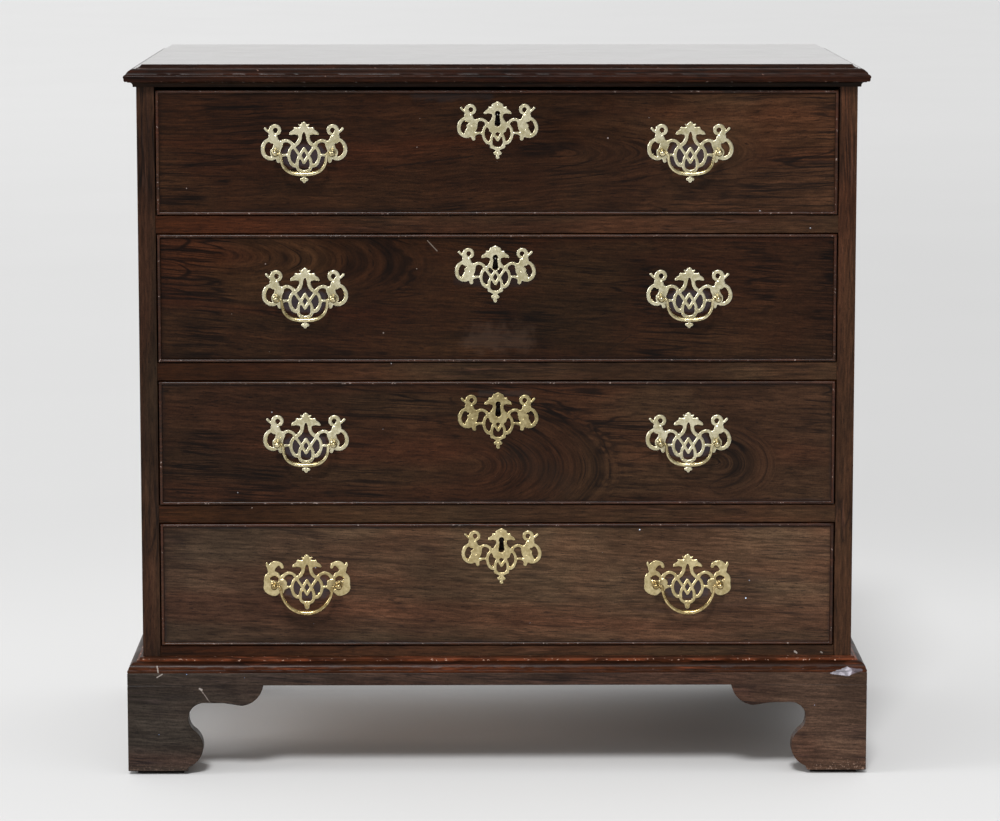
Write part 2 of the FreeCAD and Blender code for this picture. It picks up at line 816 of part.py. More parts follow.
def faceted(rings):
    # a closed solid through a row of rings with flat facets; a twisted facet is split along its diagonal
    faces = [Part.Face(Part.makePolygon(ring + ring[:1])) for ring in (rings[0], rings[-1])]
    for near, far in zip(rings, rings[1:]):
        for k in range(len(near)):
            following = (k + 1) % len(near)
            quad = [near[k], near[following], far[following], far[k]]
            normal = (quad[1] - quad[0]).cross(quad[2] - quad[0])
            if abs(normal.dot(quad[3] - quad[0])) < 1e-7 * normal.Length:
                facets = [quad]
            else:
                facets = [quad[:3], [quad[0], quad[2], quad[3]]]
            faces += [Part.Face(Part.makePolygon(facet + facet[:1])) for facet in facets]
    solid = Part.Solid(Part.Shell(faces))
    if solid.Volume < 0:
        solid.reverse()
    return solid


def rod(radius, start, end, sides=6):
    return faceted([ring_of(radius, start, sides), ring_of(radius, end, sides)])


def flat_piece(points, thick):
    # a plate in the XZ plane whose back lies at y = 0
    corners = [Vec(x, 0, z) for x, z in points]
    return Part.Face(Part.makePolygon(corners + corners[:1])).extrude(Vec(0, -thick, 0))


def both_sides(half):
    # the outline of a shape drawn from its top middle point down its left side
    return half + [(-x, z) for x, z in half[-2:0:-1]] if half[-1][0] == 0 else half


def opposite(points):
    return [(-x, z) for x, z in points]


# The pierced plates are drawn at this width about the middle of the post line, left half only.
drawn_width = 107.4

crest = [(0, 37.8), (-6.8, 33.2), (-12, 30.4), (-16.6, 23.4), (-9.6, 22.6)]
neck = [(-7.2, 20.2), (-8.2, 14.6), (-14.4, 10.6)]
arch = [(-17.2, 13.8), (-22, 15), (-28.6, 12.8)]
curl = [(-36.6, 15.8), (-37.4, 19.8), (-31.6, 21.6), (-31, 29), (-36.9, 33), (-42.6, 30)]
spur = [(-49.4, 28.8), (-46, 20.4)]
scroll = [(-46.6, 14.2), (-53, 8.6), (-53.2, -1.4), (-46.8, -8.4), (-38, -9.4)]
bud = [(-34.4, -13.8), (-29.8, -11.8), (-29.8, -6)]
lobe = [(-22, -6.2), (-20.2, -14.4), (-12.8, -18.4), (-9.6, -24.2)]
drop = [(-2.6, -27.4), (-5.4, -32.2), (0, -37.8)]

curl_eye = [(-37, 29.6), (-40.2, 26.4), (-37, 23.2), (-33.8, 26.4)]
scroll_eye = [(-44.6, 11.4), (-49.8, 6.8), (-49.8, -0.8), (-44.4, -5.2), (-42, 0.8), (-39.4, 8.2)]
arch_eye = [(-26.4, 9.6), (-22, 11.8), (-17.8, 9.6), (-21.6, 0), (-27.6, -0.8)]
lens = [(-13.4, 5), (-18.2, -2.4), (-14.4, -13.4), (-7.4, -4.4)]
bottle = [(0, 27.2), (-3.8, 24), (-4.2, 17.4), (-10.8, 8.8), (-5.3, -0.6), (0, 8.2)]
diamond = [(0, 3.6), (-3.4, -4.4), (0, -11)]
cup = [(0, -15.6), (-5.4, -8.4), (-8.6, -14.6), (-4.6, -22), (0, -23)]

# the broader ears of the lowest handles: a solid crescent round an eye, and a hooked leaf
broad_curl = [(-36.4, 14.6), (-37.6, 18), (-34.2, 19.6), (-30.8, 17.8), (-32, 25.4), (-38.8, 28.2), (-43.6, 26.8)]
broad_spur = [(-49.6, 25.8), (-48.2, 16.6)]
broad_scroll = [(-49.2, 10.2), (-53.4, 3.2), (-53.2, -6.6), (-48, -13.2), (-40.6, -14.4)]
broad_bud = [(-34.6, -12.4), (-31.4, -7.2)]
broad_eye = [(-46.6, 5.8), (-40, 10.2), (-34, 6.6), (-40, 5.2)]


def pierced_plate(outline, eyes, width, holes):
    # every eye left of the middle is pierced on both sides; one that starts on the middle is pierced once
    scale = float(width) / drawn_width
    thick = float(size["plate_thick"])

    def drawn(points, depth):
        return flat_piece([(x * scale, z * scale) for x, z in points], depth)

    slab = drawn(both_sides(outline), thick)
    cutters = []
    for eye in eyes:
        shapes = [both_sides(eye)] if eye[0][0] == 0 else [eye, opposite(eye)]
        for points in shapes:
            cutter = drawn(points, thick + 2 * past)
            cutter.translate(Vec(0, past, 0))
            cutters.append(cutter)
    return slab.cut(cutters + holes).Solids[0]


def handle_plate(kind):
    if kind == "crescent":
        ear = broad_curl + broad_spur + broad_scroll + broad_bud
        ear_eyes = [broad_eye]
        boring = size["low_boring"]
    else:
        ear = curl + spur + scroll + bud
        ear_eyes = [curl_eye, scroll_eye]
        boring = size["boring"]
    outline = crest + neck + arch + ear + lobe + drop
    clear = float(size["shank"] + size["shank_clearance"])
    holes = []
    for side in (-1, 1):
        hole = rod(clear, -float(size["plate_thick"]) - past, past, shank_sides)
        hole.translate(Vec(side * float(boring) / 2, 0, 0))
        holes.append(hole)
    return pierced_plate(outline, ear_eyes + [arch_eye, lens, bottle, diamond, cup], size["plate_width"], holes)


# the keyhole of an escutcheon lies this far over the drawn middle of the plate
key_rise = 16.8


def escutcheon_shape(web):
    # the same pattern with a panel for the keyhole in place of the open neck
    scale = float(size["escutcheon_width"]) / drawn_width
    outline = crest + neck + arch + curl + spur + scroll + bud + lobe + drop
    cutter = flat_piece(keyhole_outline(0, key_rise * scale), float(size["plate_thick"]) + 2 * past)
    cutter.translate(Vec(0, past, 0))
    eyes = [curl_eye, scroll_eye, arch_eye, lens, diamond, cup]
    if web == "open":
        eyes.append([(0, 4.4), (-9.8, 7.4), (-5.3, -0.6)])
    return pierced_plate(outline, eyes, size["escutcheon_width"], [cutter])


# the shanks are square below the plate, so that a post can't turn
shank_sides = 4


def post_shape():
    # a post about the Y axis: square shank, flange, neck and a ball head, in six flats
    thick = float(size["plate_thick"])
    reach = float(size["post_reach"])
    pivot = float(size["pivot_reach"])
    head = float(size["post_head"])
    flange = float(size["post_flange"])
    neck = float(size["post_neck"])
    band = float(size["post_band"]) / 2
    knob = faceted([
        ring_of(flange, -thick), ring_of(neck, -(thick + pivot) / 2), ring_of(head, -pivot + band),
        ring_of(head, -pivot - band), ring_of(head / 2, -reach),
    ])
    inside = float(size["front_thick"])
    shank = rod(float(size["shank"]), -thick - past, inside + past, shank_sides)
    nut = rod(float(size["nut"]), inside, inside + float(size["nut_height"]), shank_sides)
    return knob.fuse([shank, nut])


def pin_bore(direction):
    # the blind hole in a post's head, open towards the bail; like the pin in it, it has six flats
    clear = float(size["bail_pin"] + size["pin_clearance"])
    bore = rod(clear, 0, float(size["post_head"] + size["bore_entry"]) + past)
    bore.rotate(Vec(0, 0, 0), Vec(0, 0, 1), -90 * direction)
    bore.translate(Vec(-float(size["bore_entry"]) * direction, -float(size["pivot_reach"]), 0))
    return bore


# straight stretches along half a turn of the grip
bail_steps = 8


def bail_shape(span, drop, power, boring):
    # The grip follows x = span/2 * cos(t)^power, z = -drop * sin(t)^power and thickens towards its middle.
    # Its ends turn outwards into the posts as pins.
    span, drop = float(span), float(drop)
    leg = float(size["bail_leg"])
    grip = float(size["bail_grip"])
    pin = float(size["bail_pin"])
    shoulder = span / 2 + leg + float(size["shoulder_gap"])
    pin_tip = float(boring) / 2 + float(size["pin_entry"])
    stations = [(-pin_tip, 0, pin), (-shoulder, 0, pin)]
    for k in range(bail_steps + 1):
        angle = math.pi * k / bail_steps
        c, s = math.cos(angle), math.sin(angle)
        x = -math.copysign(abs(c) ** power, c) * span / 2
        z = -abs(s) ** power * drop
        swell = max(0.0, 1 - abs(x) / (span * 0.42)) ** 0.8
        stations.append((x, z, leg + (grip - leg) * swell))
    stations += [(shoulder, 0, pin), (pin_tip, 0, pin)]
    rings = []
    for index, (x, z, radius) in enumerate(stations):
        near = stations[max(index - 1, 0)]
        far = stations[min(index + 1, len(stations) - 1)]
        into = Vec(x - near[0], 0, z - near[1])
        out = Vec(far[0] - x, 0, far[1] - z)
        into = into.normalize() if into.Length > 0 else Vec(out).normalize()
        out = out.normalize() if out.Length > 0 else Vec(into)
        along = (into + out).normalize()
        across = Vec(-along.z, 0, along.x)
        stretch = 1 / max(into.dot(along), 0.5)
        rings.append([
            Vec(x, corner.x, z) + across * (corner.z * stretch) for corner in ring_of(radius, 0)
        ])
    return faceted(rings)


def make_brasses(number):
    low, high = drawers[number]
    lowest = number == drawer_count
    tag = f"_{number}"
    post_z = (low + high) / 2
    middle = size["handle_spacing"] / 2
    boring = size["low_boring"] if lowest else size["boring"]
    plate = plates["crescent" if lowest else "curled"]
    pair = [
        solid_piece(f"plate{tag}_{side}", plate, middle.value * way, front, post_z)
        for side, way in (("left", -1), ("right", 1))
    ]
    keep(group("plates" + tag, pair), f"handle_plates_{number}")

    posts = []
    for place, x in enumerate(post_places(boring)):
        inward = 1 if place % 2 == 0 else -1
        shape = bare_post.cut(pin_bore(inward))
        posts.append(solid_piece(f"post{tag}_{place}", shape, x, front, post_z))
    keep(group("posts" + tag, posts), f"handle_posts_{number}")

    bail = bails["low" if lowest else "upper"]
    for side, way in (("left", -1), ("right", 1)):
        piece = solid_piece(f"bail{tag}_{side}", bail, middle.value * way, front - size["pivot_reach"], post_z)
        keep(piece, f"bail_{number}_{side}")

    web = "open" if number == 2 else "solid"
    # the plate is drawn about its post line, so it is set down below its keyhole
    scale = float(size["escutcheon_width"]) / drawn_width
    panel = solid_piece("escutcheon_plate" + tag, escutcheons[web], key_shift[number], front,
                        key_z[number] - key_rise * scale)
    keep(panel, f"escutcheon_{number}")


make_top_board()
make_top_moulding()
make_sides()
make_rails()
make_dustboards()
make_runners()
make_stops()
make_bottom_and_back()
make_base_moulding()
make_plinth()
make_feet()

plates = {kind: handle_plate(kind) for kind in ("curled", "crescent")}
escutcheons = {web: escutcheon_shape(web) for web in ("open", "solid")}
bare_post = post_shape()
bails = {
    "upper": bail_shape(size["bail_span"], size["bail_drop"], 0.72, size["boring"]),
    "low": bail_shape(size["low_bail_span"], size["low_bail_drop"], 0.96, size["low_boring"]),
}
for drawer_number in sorted(drawers):
    make_drawer(drawer_number)
    make_brasses(drawer_number)

doc.recompute()

# ---------------------------------------------------------------- checks and files

for item in doc.Objects:
    if "Invalid" in item.State or "Error" in item.State:
        raise RuntimeError(f"{item.Name} failed: {item.State}")
for item in nodes:
    if item.Shape.isNull() or not item.Shape.isValid() or not item.Shape.Solids:
        raise RuntimeError(f"{item.Label} has no valid solid")

os.makedirs("parts", exist_ok=True)
for item in nodes:
    item.Shape.exportStep(f"parts/{item.Label}.step")
print(len(nodes), "nodes written")
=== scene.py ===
import json
import math

import bmesh
import bpy
import numpy as np
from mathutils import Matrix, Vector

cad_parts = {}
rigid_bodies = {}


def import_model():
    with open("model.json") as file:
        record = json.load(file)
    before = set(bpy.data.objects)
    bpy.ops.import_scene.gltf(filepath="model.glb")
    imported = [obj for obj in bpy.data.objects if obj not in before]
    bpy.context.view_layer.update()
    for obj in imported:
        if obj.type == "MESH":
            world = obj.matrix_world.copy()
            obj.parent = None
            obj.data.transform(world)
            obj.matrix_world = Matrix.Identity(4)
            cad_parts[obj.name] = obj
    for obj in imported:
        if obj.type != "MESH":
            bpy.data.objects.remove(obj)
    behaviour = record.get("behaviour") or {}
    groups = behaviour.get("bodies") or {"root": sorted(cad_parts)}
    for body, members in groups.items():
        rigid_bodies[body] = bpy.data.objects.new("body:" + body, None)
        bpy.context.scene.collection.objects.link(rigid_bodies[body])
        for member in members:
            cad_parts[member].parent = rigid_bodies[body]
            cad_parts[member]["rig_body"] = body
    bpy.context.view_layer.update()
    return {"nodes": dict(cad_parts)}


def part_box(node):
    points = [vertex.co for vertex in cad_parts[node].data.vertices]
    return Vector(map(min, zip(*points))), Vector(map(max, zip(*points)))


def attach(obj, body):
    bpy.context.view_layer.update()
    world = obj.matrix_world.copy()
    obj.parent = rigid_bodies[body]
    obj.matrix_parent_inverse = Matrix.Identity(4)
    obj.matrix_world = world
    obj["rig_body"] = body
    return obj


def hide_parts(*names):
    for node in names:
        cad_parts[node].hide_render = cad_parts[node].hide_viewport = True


# A small mahogany chest of drawers on bracket feet, with pierced brasses.
# Metres, z up from the floor, the drawer fronts face -y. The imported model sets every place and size.

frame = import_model()
nodes = frame["nodes"]
mm = 0.001

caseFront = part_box("side_left")[0].y
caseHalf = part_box("side_right")[1].x
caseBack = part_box("side_right")[1].y
drawerNumbers = (1, 2, 3, 4)
handleAt = 237        # mm from the middle of a drawer to the middle of a handle
mergeWithin = 2e-6      # corners nearer than this are one


# small helpers

def added(name, data):
    made = bpy.data.objects.new(name, data)
    bpy.context.scene.collection.objects.link(made)
    return made


def meshObject(name, vertices, faces, smooth):
    # a mesh from whole arrays of corners and faces; edges sharper than `smooth` degrees stay crisp
    mesh = bpy.data.meshes.new(name)
    mesh.from_pydata(np.asarray(vertices, float).tolist(), [], faces)
    mesh.update()
    return crisp(added(name, mesh), smooth)


def crisp(piece, degrees):
    mesh = piece.data
    mesh.polygons.foreach_set("use_smooth", [True] * len(mesh.polygons))
    mesh.set_sharp_from_angle(angle=math.radians(degrees))
    return piece


def reworked(source, target, change):
    # the source mesh, with doubled corners merged and then changed, written into the target mesh
    work = bmesh.new()
    work.from_mesh(source)
    bmesh.ops.remove_doubles(work, verts=work.verts, dist=mergeWithin)
    change(work)
    work.to_mesh(target)
    work.free()


def numbered(piece, name, shares):
    # one number for each corner, which a material reads by its name
    shares = np.asarray(shares, np.float32)
    piece.data.attributes.new(name, "FLOAT", "POINT").data.foreach_set("value", shares)


def closedObject(name, vertices, faces, smooth, shares=None):
    # a closed mesh with every face turned outwards; shares say how much of an arris each corner is
    made = meshObject(name, vertices, faces, smooth)
    if shares is not None:
        numbered(made, "arris", shares)
    reworked(made.data, made.data, lambda work: bmesh.ops.recalc_face_normals(work, faces=work.faces))
    return crisp(made, smooth)


def joined(blocks):
    # several (vertices, faces) blocks as one
    corners, faces, start = [], [], 0
    for vertices, quads in blocks:
        corners.append(vertices)
        faces += [[corner + start for corner in face] for face in quads]
        start += len(vertices)
    return np.concatenate(corners), faces


def gridFaces(rows, columns, closedRows=False, closedColumns=False):
    # quads between neighbouring points of a rows x columns grid
    index = np.arange(rows * columns).reshape(rows, columns)
    above = np.roll(index, -1, 0)
    quads = np.stack([index, above, np.roll(above, -1, 1), np.roll(index, -1, 1)], -1)
    quads = quads[:rows if closedRows else -1, :columns if closedColumns else -1]
    return quads.reshape(-1, 4).tolist()


def tubeFaces(rows, columns, capsTurned=False):
    # a tube of closed rings with a flat cap at each end
    first, last = list(range(columns)), list(range((rows - 1) * columns, rows * columns))
    caps = [first[::-1], last] if capsTurned else [first, last[::-1]]
    return gridFaces(rows, columns, closedColumns=True) + caps


def flatPoints(*axes):
    # x, y and z grids as one list of corners
    return np.stack(np.broadcast_arrays(*axes), -1).reshape(-1, 3)


def dress(piece, material, body, slot, *replaced):
    piece.data.materials.clear()
    piece.data.materials.append(material)
    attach(piece, body)
    if replaced:
        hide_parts(*replaced)


# materials: node trees written as sums of fields

drawing = {}  # the node tree that new nodes go into, and its material and shader


class Field:
    # a value in the node tree, which adds, multiplies and divides like a number
    def __init__(self, socket):
        self.socket = socket

    def __add__(self, other):
        return maths("ADD", self, other)

    def __sub__(self, other):
        return maths("SUBTRACT", self, other)

    def __rsub__(self, other):
        return maths("SUBTRACT", other, self)

    def __mul__(self, other):
        return maths("MULTIPLY", self, other)

    def __truediv__(self, other):
        return maths("DIVIDE", self, other)

    def __abs__(self):
        return maths("ABSOLUTE", self)


def plug(socket, value):
    if isinstance(value, Field):
        drawing["tree"].links.new(value.socket, socket)
    else:
        socket.default_value = value


def wire(kind, inputs=None, **settings):
    # one shader node: plain values are set on its sockets, and fields are linked to them
    made = drawing["tree"].nodes.new("ShaderNode" + kind)
    for key, value in settings.items():
        setattr(made, key, value)
    for key, value in (inputs or {}).items():
        plug(made.inputs[key], value)
    return made


def field(kind, inputs=None, output=0, **settings):
    return Field(wire(kind, inputs, **settings).outputs[output])


def fields(kind, inputs=None, **settings):
    return [Field(socket) for socket in wire(kind, inputs, **settings).outputs]


def maths(operation, first, second=0):
    return field("Math", {0: first, 1: second}, operation=operation)


def between(value, low, high, bottom=0, top=1):
    # value taken from low..high to bottom..top with soft ends
    return field("MapRange", {0: value, 1: low, 2: high, 3: bottom, 4: top}, interpolation_type="SMOOTHSTEP")


def mixed(share, first, second):
    return field("Mix", {0: share, 2: first, 3: second}, data_type="FLOAT")


def tinted(share, first, second, blend="MIX"):
    # the mix of two colours
    first, second = (value if isinstance(value, Field) else (*value, 1) for value in (first, second))
    return field("Mix", {0: share, 6: first, 7: second}, 2, data_type="RGBA", blend_type=blend)


def noise(vector, scale, detail=2, roughness=0.5):
    inputs = {"Vector": vector, "Scale": scale, "Detail": detail, "Roughness": roughness}
    return field("TexNoise", inputs, "Fac")


def parts(vector):
    return fields("SeparateXYZ", {0: vector})


def point(x, y, z):
    return field("CombineXYZ", {0: x, 1: y, 2: z})


def vectors(operation, first, second):
    return field("VectorMath", {0: first, 1: second}, operation=operation)


def scaled(colour, factor):
    return field("VectorMath", {0: colour, 3: factor}, operation="SCALE")


def attribute(name):
    return field("Attribute", output="Fac", attribute_name=name)


def startMaterial(name, **plain):
    # starts a material to draw in, and gives the place on the object
    made = bpy.data.materials.new(name)
    made.use_nodes = True
    drawing.update(material=made, tree=made.node_tree, shader=made.node_tree.nodes["Principled BSDF"])
    for socket, value in plain.items():
        plug(drawing["shader"].inputs[socket.replace("_", " ")], value)
    return field("TexCoord", output="Object")


def surface(colour, rough=None, bump=None):
    # the drawn material with its looks; bump is (strength, depth in metres, height)
    sockets = drawing["shader"].inputs
    plug(sockets["Base Color"], colour)
    if rough:
        plug(sockets["Roughness"], rough)
    if bump:
        strength, depth, height = bump
        plug(sockets["Normal"], field("Bump", {"Strength": strength, "Distance": depth, "Height": height}))
    return drawing["material"]


def linear(red, green, blue):
    # an sRGB colour in 0..255 as linear light
    def one(value):
        value /= 255
        return value / 12.92 if value <= 0.04045 else ((value + 0.055) / 1.055) ** 2.4
    return tuple(one(value) for value in (red, green, blue))


woodLook = {
    "brown": (0.03, 0.0118, 0.0046),
    "red": (0.044, 0.0135, 0.005),
    "olive": (0.035, 0.0178, 0.0072),
    "vein": (0.005, 0.0026, 0.0016),
    "worn": (0.115, 0.045, 0.022),
    "speck": (0.42, 0.38, 0.34),
    "bloom": (0.026, 0.021, 0.019),
    "coatRough": 0.18,
}


def toneAndSideLight(x, tones):
    # one colour, or three for the left, the middle and the right of the chest. Three colours paint light: the
    # right-hand part is paler and greyer, as light and reflection from the right make it
    if not isinstance(tones[0], tuple):
        return tones
    left, middle, right = tones
    return tinted(between(x, 0, 0.42), tinted(between(x, -0.42, 0), left, middle), right)


def grainField(place, grain):
    # along the grain, across it, and the face's own two axes; mouldings run along x and then y
    x, y, z = parts(place)
    if grain == "up":
        return z, x + y, (x, z)
    if grain == "top":
        return x, y + z, (x, y)
    if grain == "round":
        return x + y, z, (x + y, z)
    return x, z, (x, z)


def polishedWood(
        name, tone, seed, grain="along", figure=(), sway=1, veins=0.6, olive=0.6, worn=0, slope=0, rim=None,
        rough=0.36, shine=0.07, coat=0.03, lumps=0.16, arris=0, upwardShade=0, marks=(), bruised=False):
    # Old polished mahogany. The grain level is the distance across the grain, bent by four noises. Streaks,
    # veins and pores are noises of (along, level), long in the first and short in the second. Near an arch
    # the level fades into the ring, which is sqrt((ahead / long)^2 + rise^2) from the arch's own point.
    look = woodLook
    place = startMaterial(
        name, Roughness=rough, Coat_Weight=coat, Coat_Roughness=look["coatRough"], Specular_IOR_Level=shine)
    along, across, flat = grainField(place, grain)
    moved = vectors("ADD", place, (seed, seed * 0.7, seed * 1.3))
    long = point(along * 0.45, across, seed)
    level = along * slope + across
    for scale, reach in ((3.4, 0.03), (13, 0.009), (45, 0.0034), (150, 0.0014)):
        level = (noise(long, scale, 1) - 0.5) * (reach * sway) + level
    arches = []
    for arch in figure:
        ahead = along - arch["x"]
        past, rise = maths("MAXIMUM", ahead, 0) / arch["long"], level - arch["z"]
        ring = maths("SQRT", past * past + rise * rise)
        reached = between(ring, arch["reach"], arch["reach"] * 0.7)
        arches.append((reached * between(ahead, -arch["tail"], arch["tail"]), ring))

    def streaks(lengthwise, crosswise, detail, roughness=0.55, shift=0):
        def read(height):
            vector = point(along * lengthwise, height * crosswise, seed + shift)
            return noise(vector, 1, detail, roughness)
        value = read(level)
        for share, ring in arches:
            value = mixed(share, value, read(ring))
        return value

    patch, pores = noise(moved, 9, 3, 0.6), streaks(80, 760, 2, 0.6, 7)
    colour = tinted(between(noise(moved, 6, 3), 0.38, 0.62, 0, olive), look["brown"], look["olive"])
    colour = tinted(between(streaks(1.2, 14, 2, 0.5, 9), 0.46, 0.68, 0, 0.7), colour, look["red"])
    grains = (
        # pattern, darkest, lightest
        (streaks(2.4, 20, 2), 0.88, 1.13),
        (streaks(7, 110, 3, 0.6, 3), 0.88, 1.13),
        (streaks(18, 260, 3, 0.65, 4), 0.8, 1.24),
        (streaks(45, 420, 3, 0.7, 5), 0.72, 1.34),
        (noise(moved, 620, 2), 0.86, 1.15),
    )
    for pattern, darkest, lightest in grains:
        colour = scaled(colour, between(pattern, 0.32, 0.68, darkest, lightest))
    where = between(patch, 0.46, 0.6) * 0.8 + 0.2
    for crosswise, thin, shift in ((26, 0.011, 11), (55, 0.02, 13), (120, 0.045, 15)):
        line = abs(streaks(2.6, crosswise, 2, 0.5, shift) - 0.5)
        colour = tinted(between(line, thin, thin * 0.15) * where * veins, colour, look["vein"])
    colour = tinted(between(pores, 0.42, 0.3, 0, 0.75), colour, look["vein"])
    colour = scaled(colour, between(noise(moved, 5.2, 4, 0.6), 0.34, 0.66, 0.78, 1.22))
    # painted shade: faces that turn upwards are darkened by this share
    if upwardShade:
        facing = parts(field("NewGeometry", output="Normal"))[2]
        colour = scaled(colour, between(facing, 0.15, 0.75, 1, 1 - upwardShade))
    if worn:
        bare = between(streaks(14, 240, 4, 0.65, 17), 0.52, 0.7) * between(patch, 0.44, 0.66)
        colour = tinted(bare * worn, colour, look["worn"])
    # pale arrises: wear, with painted highlights where an arris catches light, and pale nicks and painted
    # glints on them
    if arris:
        edge = between(attribute("arris"), 0.55, 0.95)
        wearAndGlint = edge * between(noise(moved, 30, 3), 0.4, 0.62, 0.15, 1)
        colour = tinted(wearAndGlint * arris, colour, look["worn"])
        nicksAndGlints = between(noise(moved, 260, 3, 0.6), 0.63, 0.68) * edge
        colour = tinted(nicksAndGlints * 0.9, colour, look["speck"])
    # painted shade with grime: the front darkens within about 11 mm of its edges, next to the cockbead, and
    # greys at the very edge
    if rim:
        wide, low, high = rim
        ends = maths("MINIMUM", flat[1] - low, high - flat[1])
        edge = (patch - 0.5) * 0.012 + maths("MINIMUM", wide - abs(flat[0]), ends)
        colour = scaled(colour, between(edge, 0.001, 0.011, 0.58, 1))
        colour = tinted(between(edge, 0.007, 0, 0, 0.35), colour, look["bloom"])
    # pale specks over the face: small chips, and painted glints
    dots = {"Vector": point(*flat, 0), "Scale": 21 + seed * 0.1}
    distance, shuffled = fields("TexVoronoi", dots, voronoi_dimensions="2D")[:2]
    lucky = fields("SeparateColor", {0: shuffled})
    speck = maths("LESS_THAN", distance, lucky[1] * 0.022) * maths("GREATER_THAN", lucky[0], 0.86)
    colour = tinted(speck * 0.7, colour, look["speck"])
    # the tone; where it has three colours it is painted light, paler to the right
    colour = tinted(1, colour, toneAndSideLight(parts(place)[0], tone), "MULTIPLY")
    spread = between(noise(moved, 24, 4), 0.3, 0.7, rough * 0.9, rough * 1.2)
    for mark in marks:
        colour, spread = strokeMark(place, colour, spread, *mark)
    if bruised:
        colour = footWear(place, colour)
    return surface(colour, spread, (lumps, 0.0005, pores * 0.2 + noise(moved, 18, 2) * 1.2))


def footWear(place, colour):
    # pale bruises along the bottom of a foot, fewer the higher they are, and most of them on the right
    x, y, height = parts(place)
    bruises = height * -7 + noise(place, 380, 3, 0.6)
    mask = between(bruises, 0.5, 0.58) * between(height, 0.028, 0.01) * between(x, 0, 0.4, 0.25, 0.85)
    return tinted(mask, colour, (0.25, 0.165, 0.125))


markDepth = (-0.228, -0.236)  # y over which a mark fades in, so that only front faces take it


def strokeMark(
        place, colour, spread,
        start, end, wide, tint, share, ragged=0, scale=300, gloss=None, soft=0.4, tip=1):
    # A crack, scratch or chip on a front face: the points nearer than `wide` to a line in x and z, with a
    # ragged edge. At the line's start only the share `tip` of the width is left.
    x, y, z = parts(place)
    dx, dz = end[0] - start[0], end[1] - start[1]
    fromX, fromZ = x - start[0], z - start[1]
    t = (fromX * dx + fromZ * dz) / (dx * dx + dz * dz)
    t = maths("MINIMUM", maths("MAXIMUM", t, 0), 1)
    offX, offZ = fromX - t * dx, fromZ - t * dz
    away = maths("SQRT", offX * offX + offZ * offZ) + (noise(place, scale, 3, 0.6) - 0.5) * ragged
    away = away / (t * (1 - tip) + tip)
    mask = between(away, wide, wide * soft) * share * between(y, *markDepth)
    if gloss is None:
        return tinted(mask, colour, tint), spread
    mottled = scaled(tint, between(noise(place, 110), 0.42, 0.62, 0.45, 1))
    return tinted(mask, colour, mottled), mixed(mask, spread, gloss)


def plainWood(name, dark, light, rough=0.7, planks=None, turnAt=None):
    # Unpolished secondary wood: straight grain and old stains. Planks between two heights differ a little,
    # with a dark joint between them. The grain of boards further out than `turnAt` runs from front to back.
    place = startMaterial(name, Roughness=rough, Specular_IOR_Level=0.3)
    x, y, z = parts(place)
    moved = place
    if planks:
        low, high, count = planks
        step = (high - low) / count
        rise = (z - low) / step
        own = field("TexWhiteNoise", {"W": maths("FLOOR", rise)}, "Value", noise_dimensions="1D")
        moved = vectors("ADD", place, point(own, own, own))
        joint = abs(rise - maths("ROUND", rise))
        shade = between(own, 0, 1, 0.72, 1.06) * between(joint, 0.001 / step, 0.004 / step, 0.25, 1)

    def lines(axis):
        # the grain runs slowly along one axis and quickly across the others
        def read(slow, quick):
            scales = tuple(slow if way == axis else quick for way in "xyz")
            return noise(vectors("MULTIPLY", moved, scales), 1, 3, 0.6)
        return read(2.5, 60) * 0.55 + read(9, 280) * 0.45

    rings = lines("x")
    if turnAt:
        rings = mixed(maths("GREATER_THAN", abs(x), turnAt), rings, lines("y"))
    colour = tinted(between(rings, 0.32, 0.68), dark, light)
    stain = between(noise(place, 5, 3), 0.4, 0.75, 0, 0.7)
    colour = tinted(stain, colour, (0.55, 0.48, 0.42), "MULTIPLY")
    if planks:
        colour = scaled(colour, shade)
    return surface(colour, bump=(0.3, 0.0005, rings))


def oldBrass(name, bright, dull, rough):
    # cast brass: dull on its flats, and bright where the attribute says that an edge stands: rubbed brass,
    # with a painted highlight on the chamfer that catches light
    place = startMaterial(name, Metallic=1, Roughness=rough)
    patina = noise(place, 240, 4, 0.6) * 0.6 + noise(place, 40, 2) * 0.5
    share = between(patina, 0.4, 0.7, 0.35, 1) - between(attribute("rub_and_highlight"), 0.1, 0.9, 0, 1.1)
    share = maths("MAXIMUM", share, 0)
    bump = (0.35, 0.0002, noise(place, 620, 3))
    return surface(tinted(share, bright, dull), share * 0.16 + (rough - 0.05), bump)


def rustedIron(name):
    rust = noise(startMaterial(name, Metallic=0.85), 130, 5, 0.65)
    colour = tinted(between(rust, 0.42, 0.66), linear(74, 70, 66), linear(84, 52, 36))
    return surface(colour, between(rust, 0.3, 0.7, 0.42, 0.8), (0.4, 0.0003, rust))


def feltPad(name):
    weave = noise(startMaterial(name, Roughness=0.9, Specular_IOR_Level=0.2), 900)
    colour = tinted(between(weave, 0.3, 0.7), linear(22, 20, 19), linear(48, 44, 40))
    return surface(colour, bump=(0.4, 0.0004, weave))
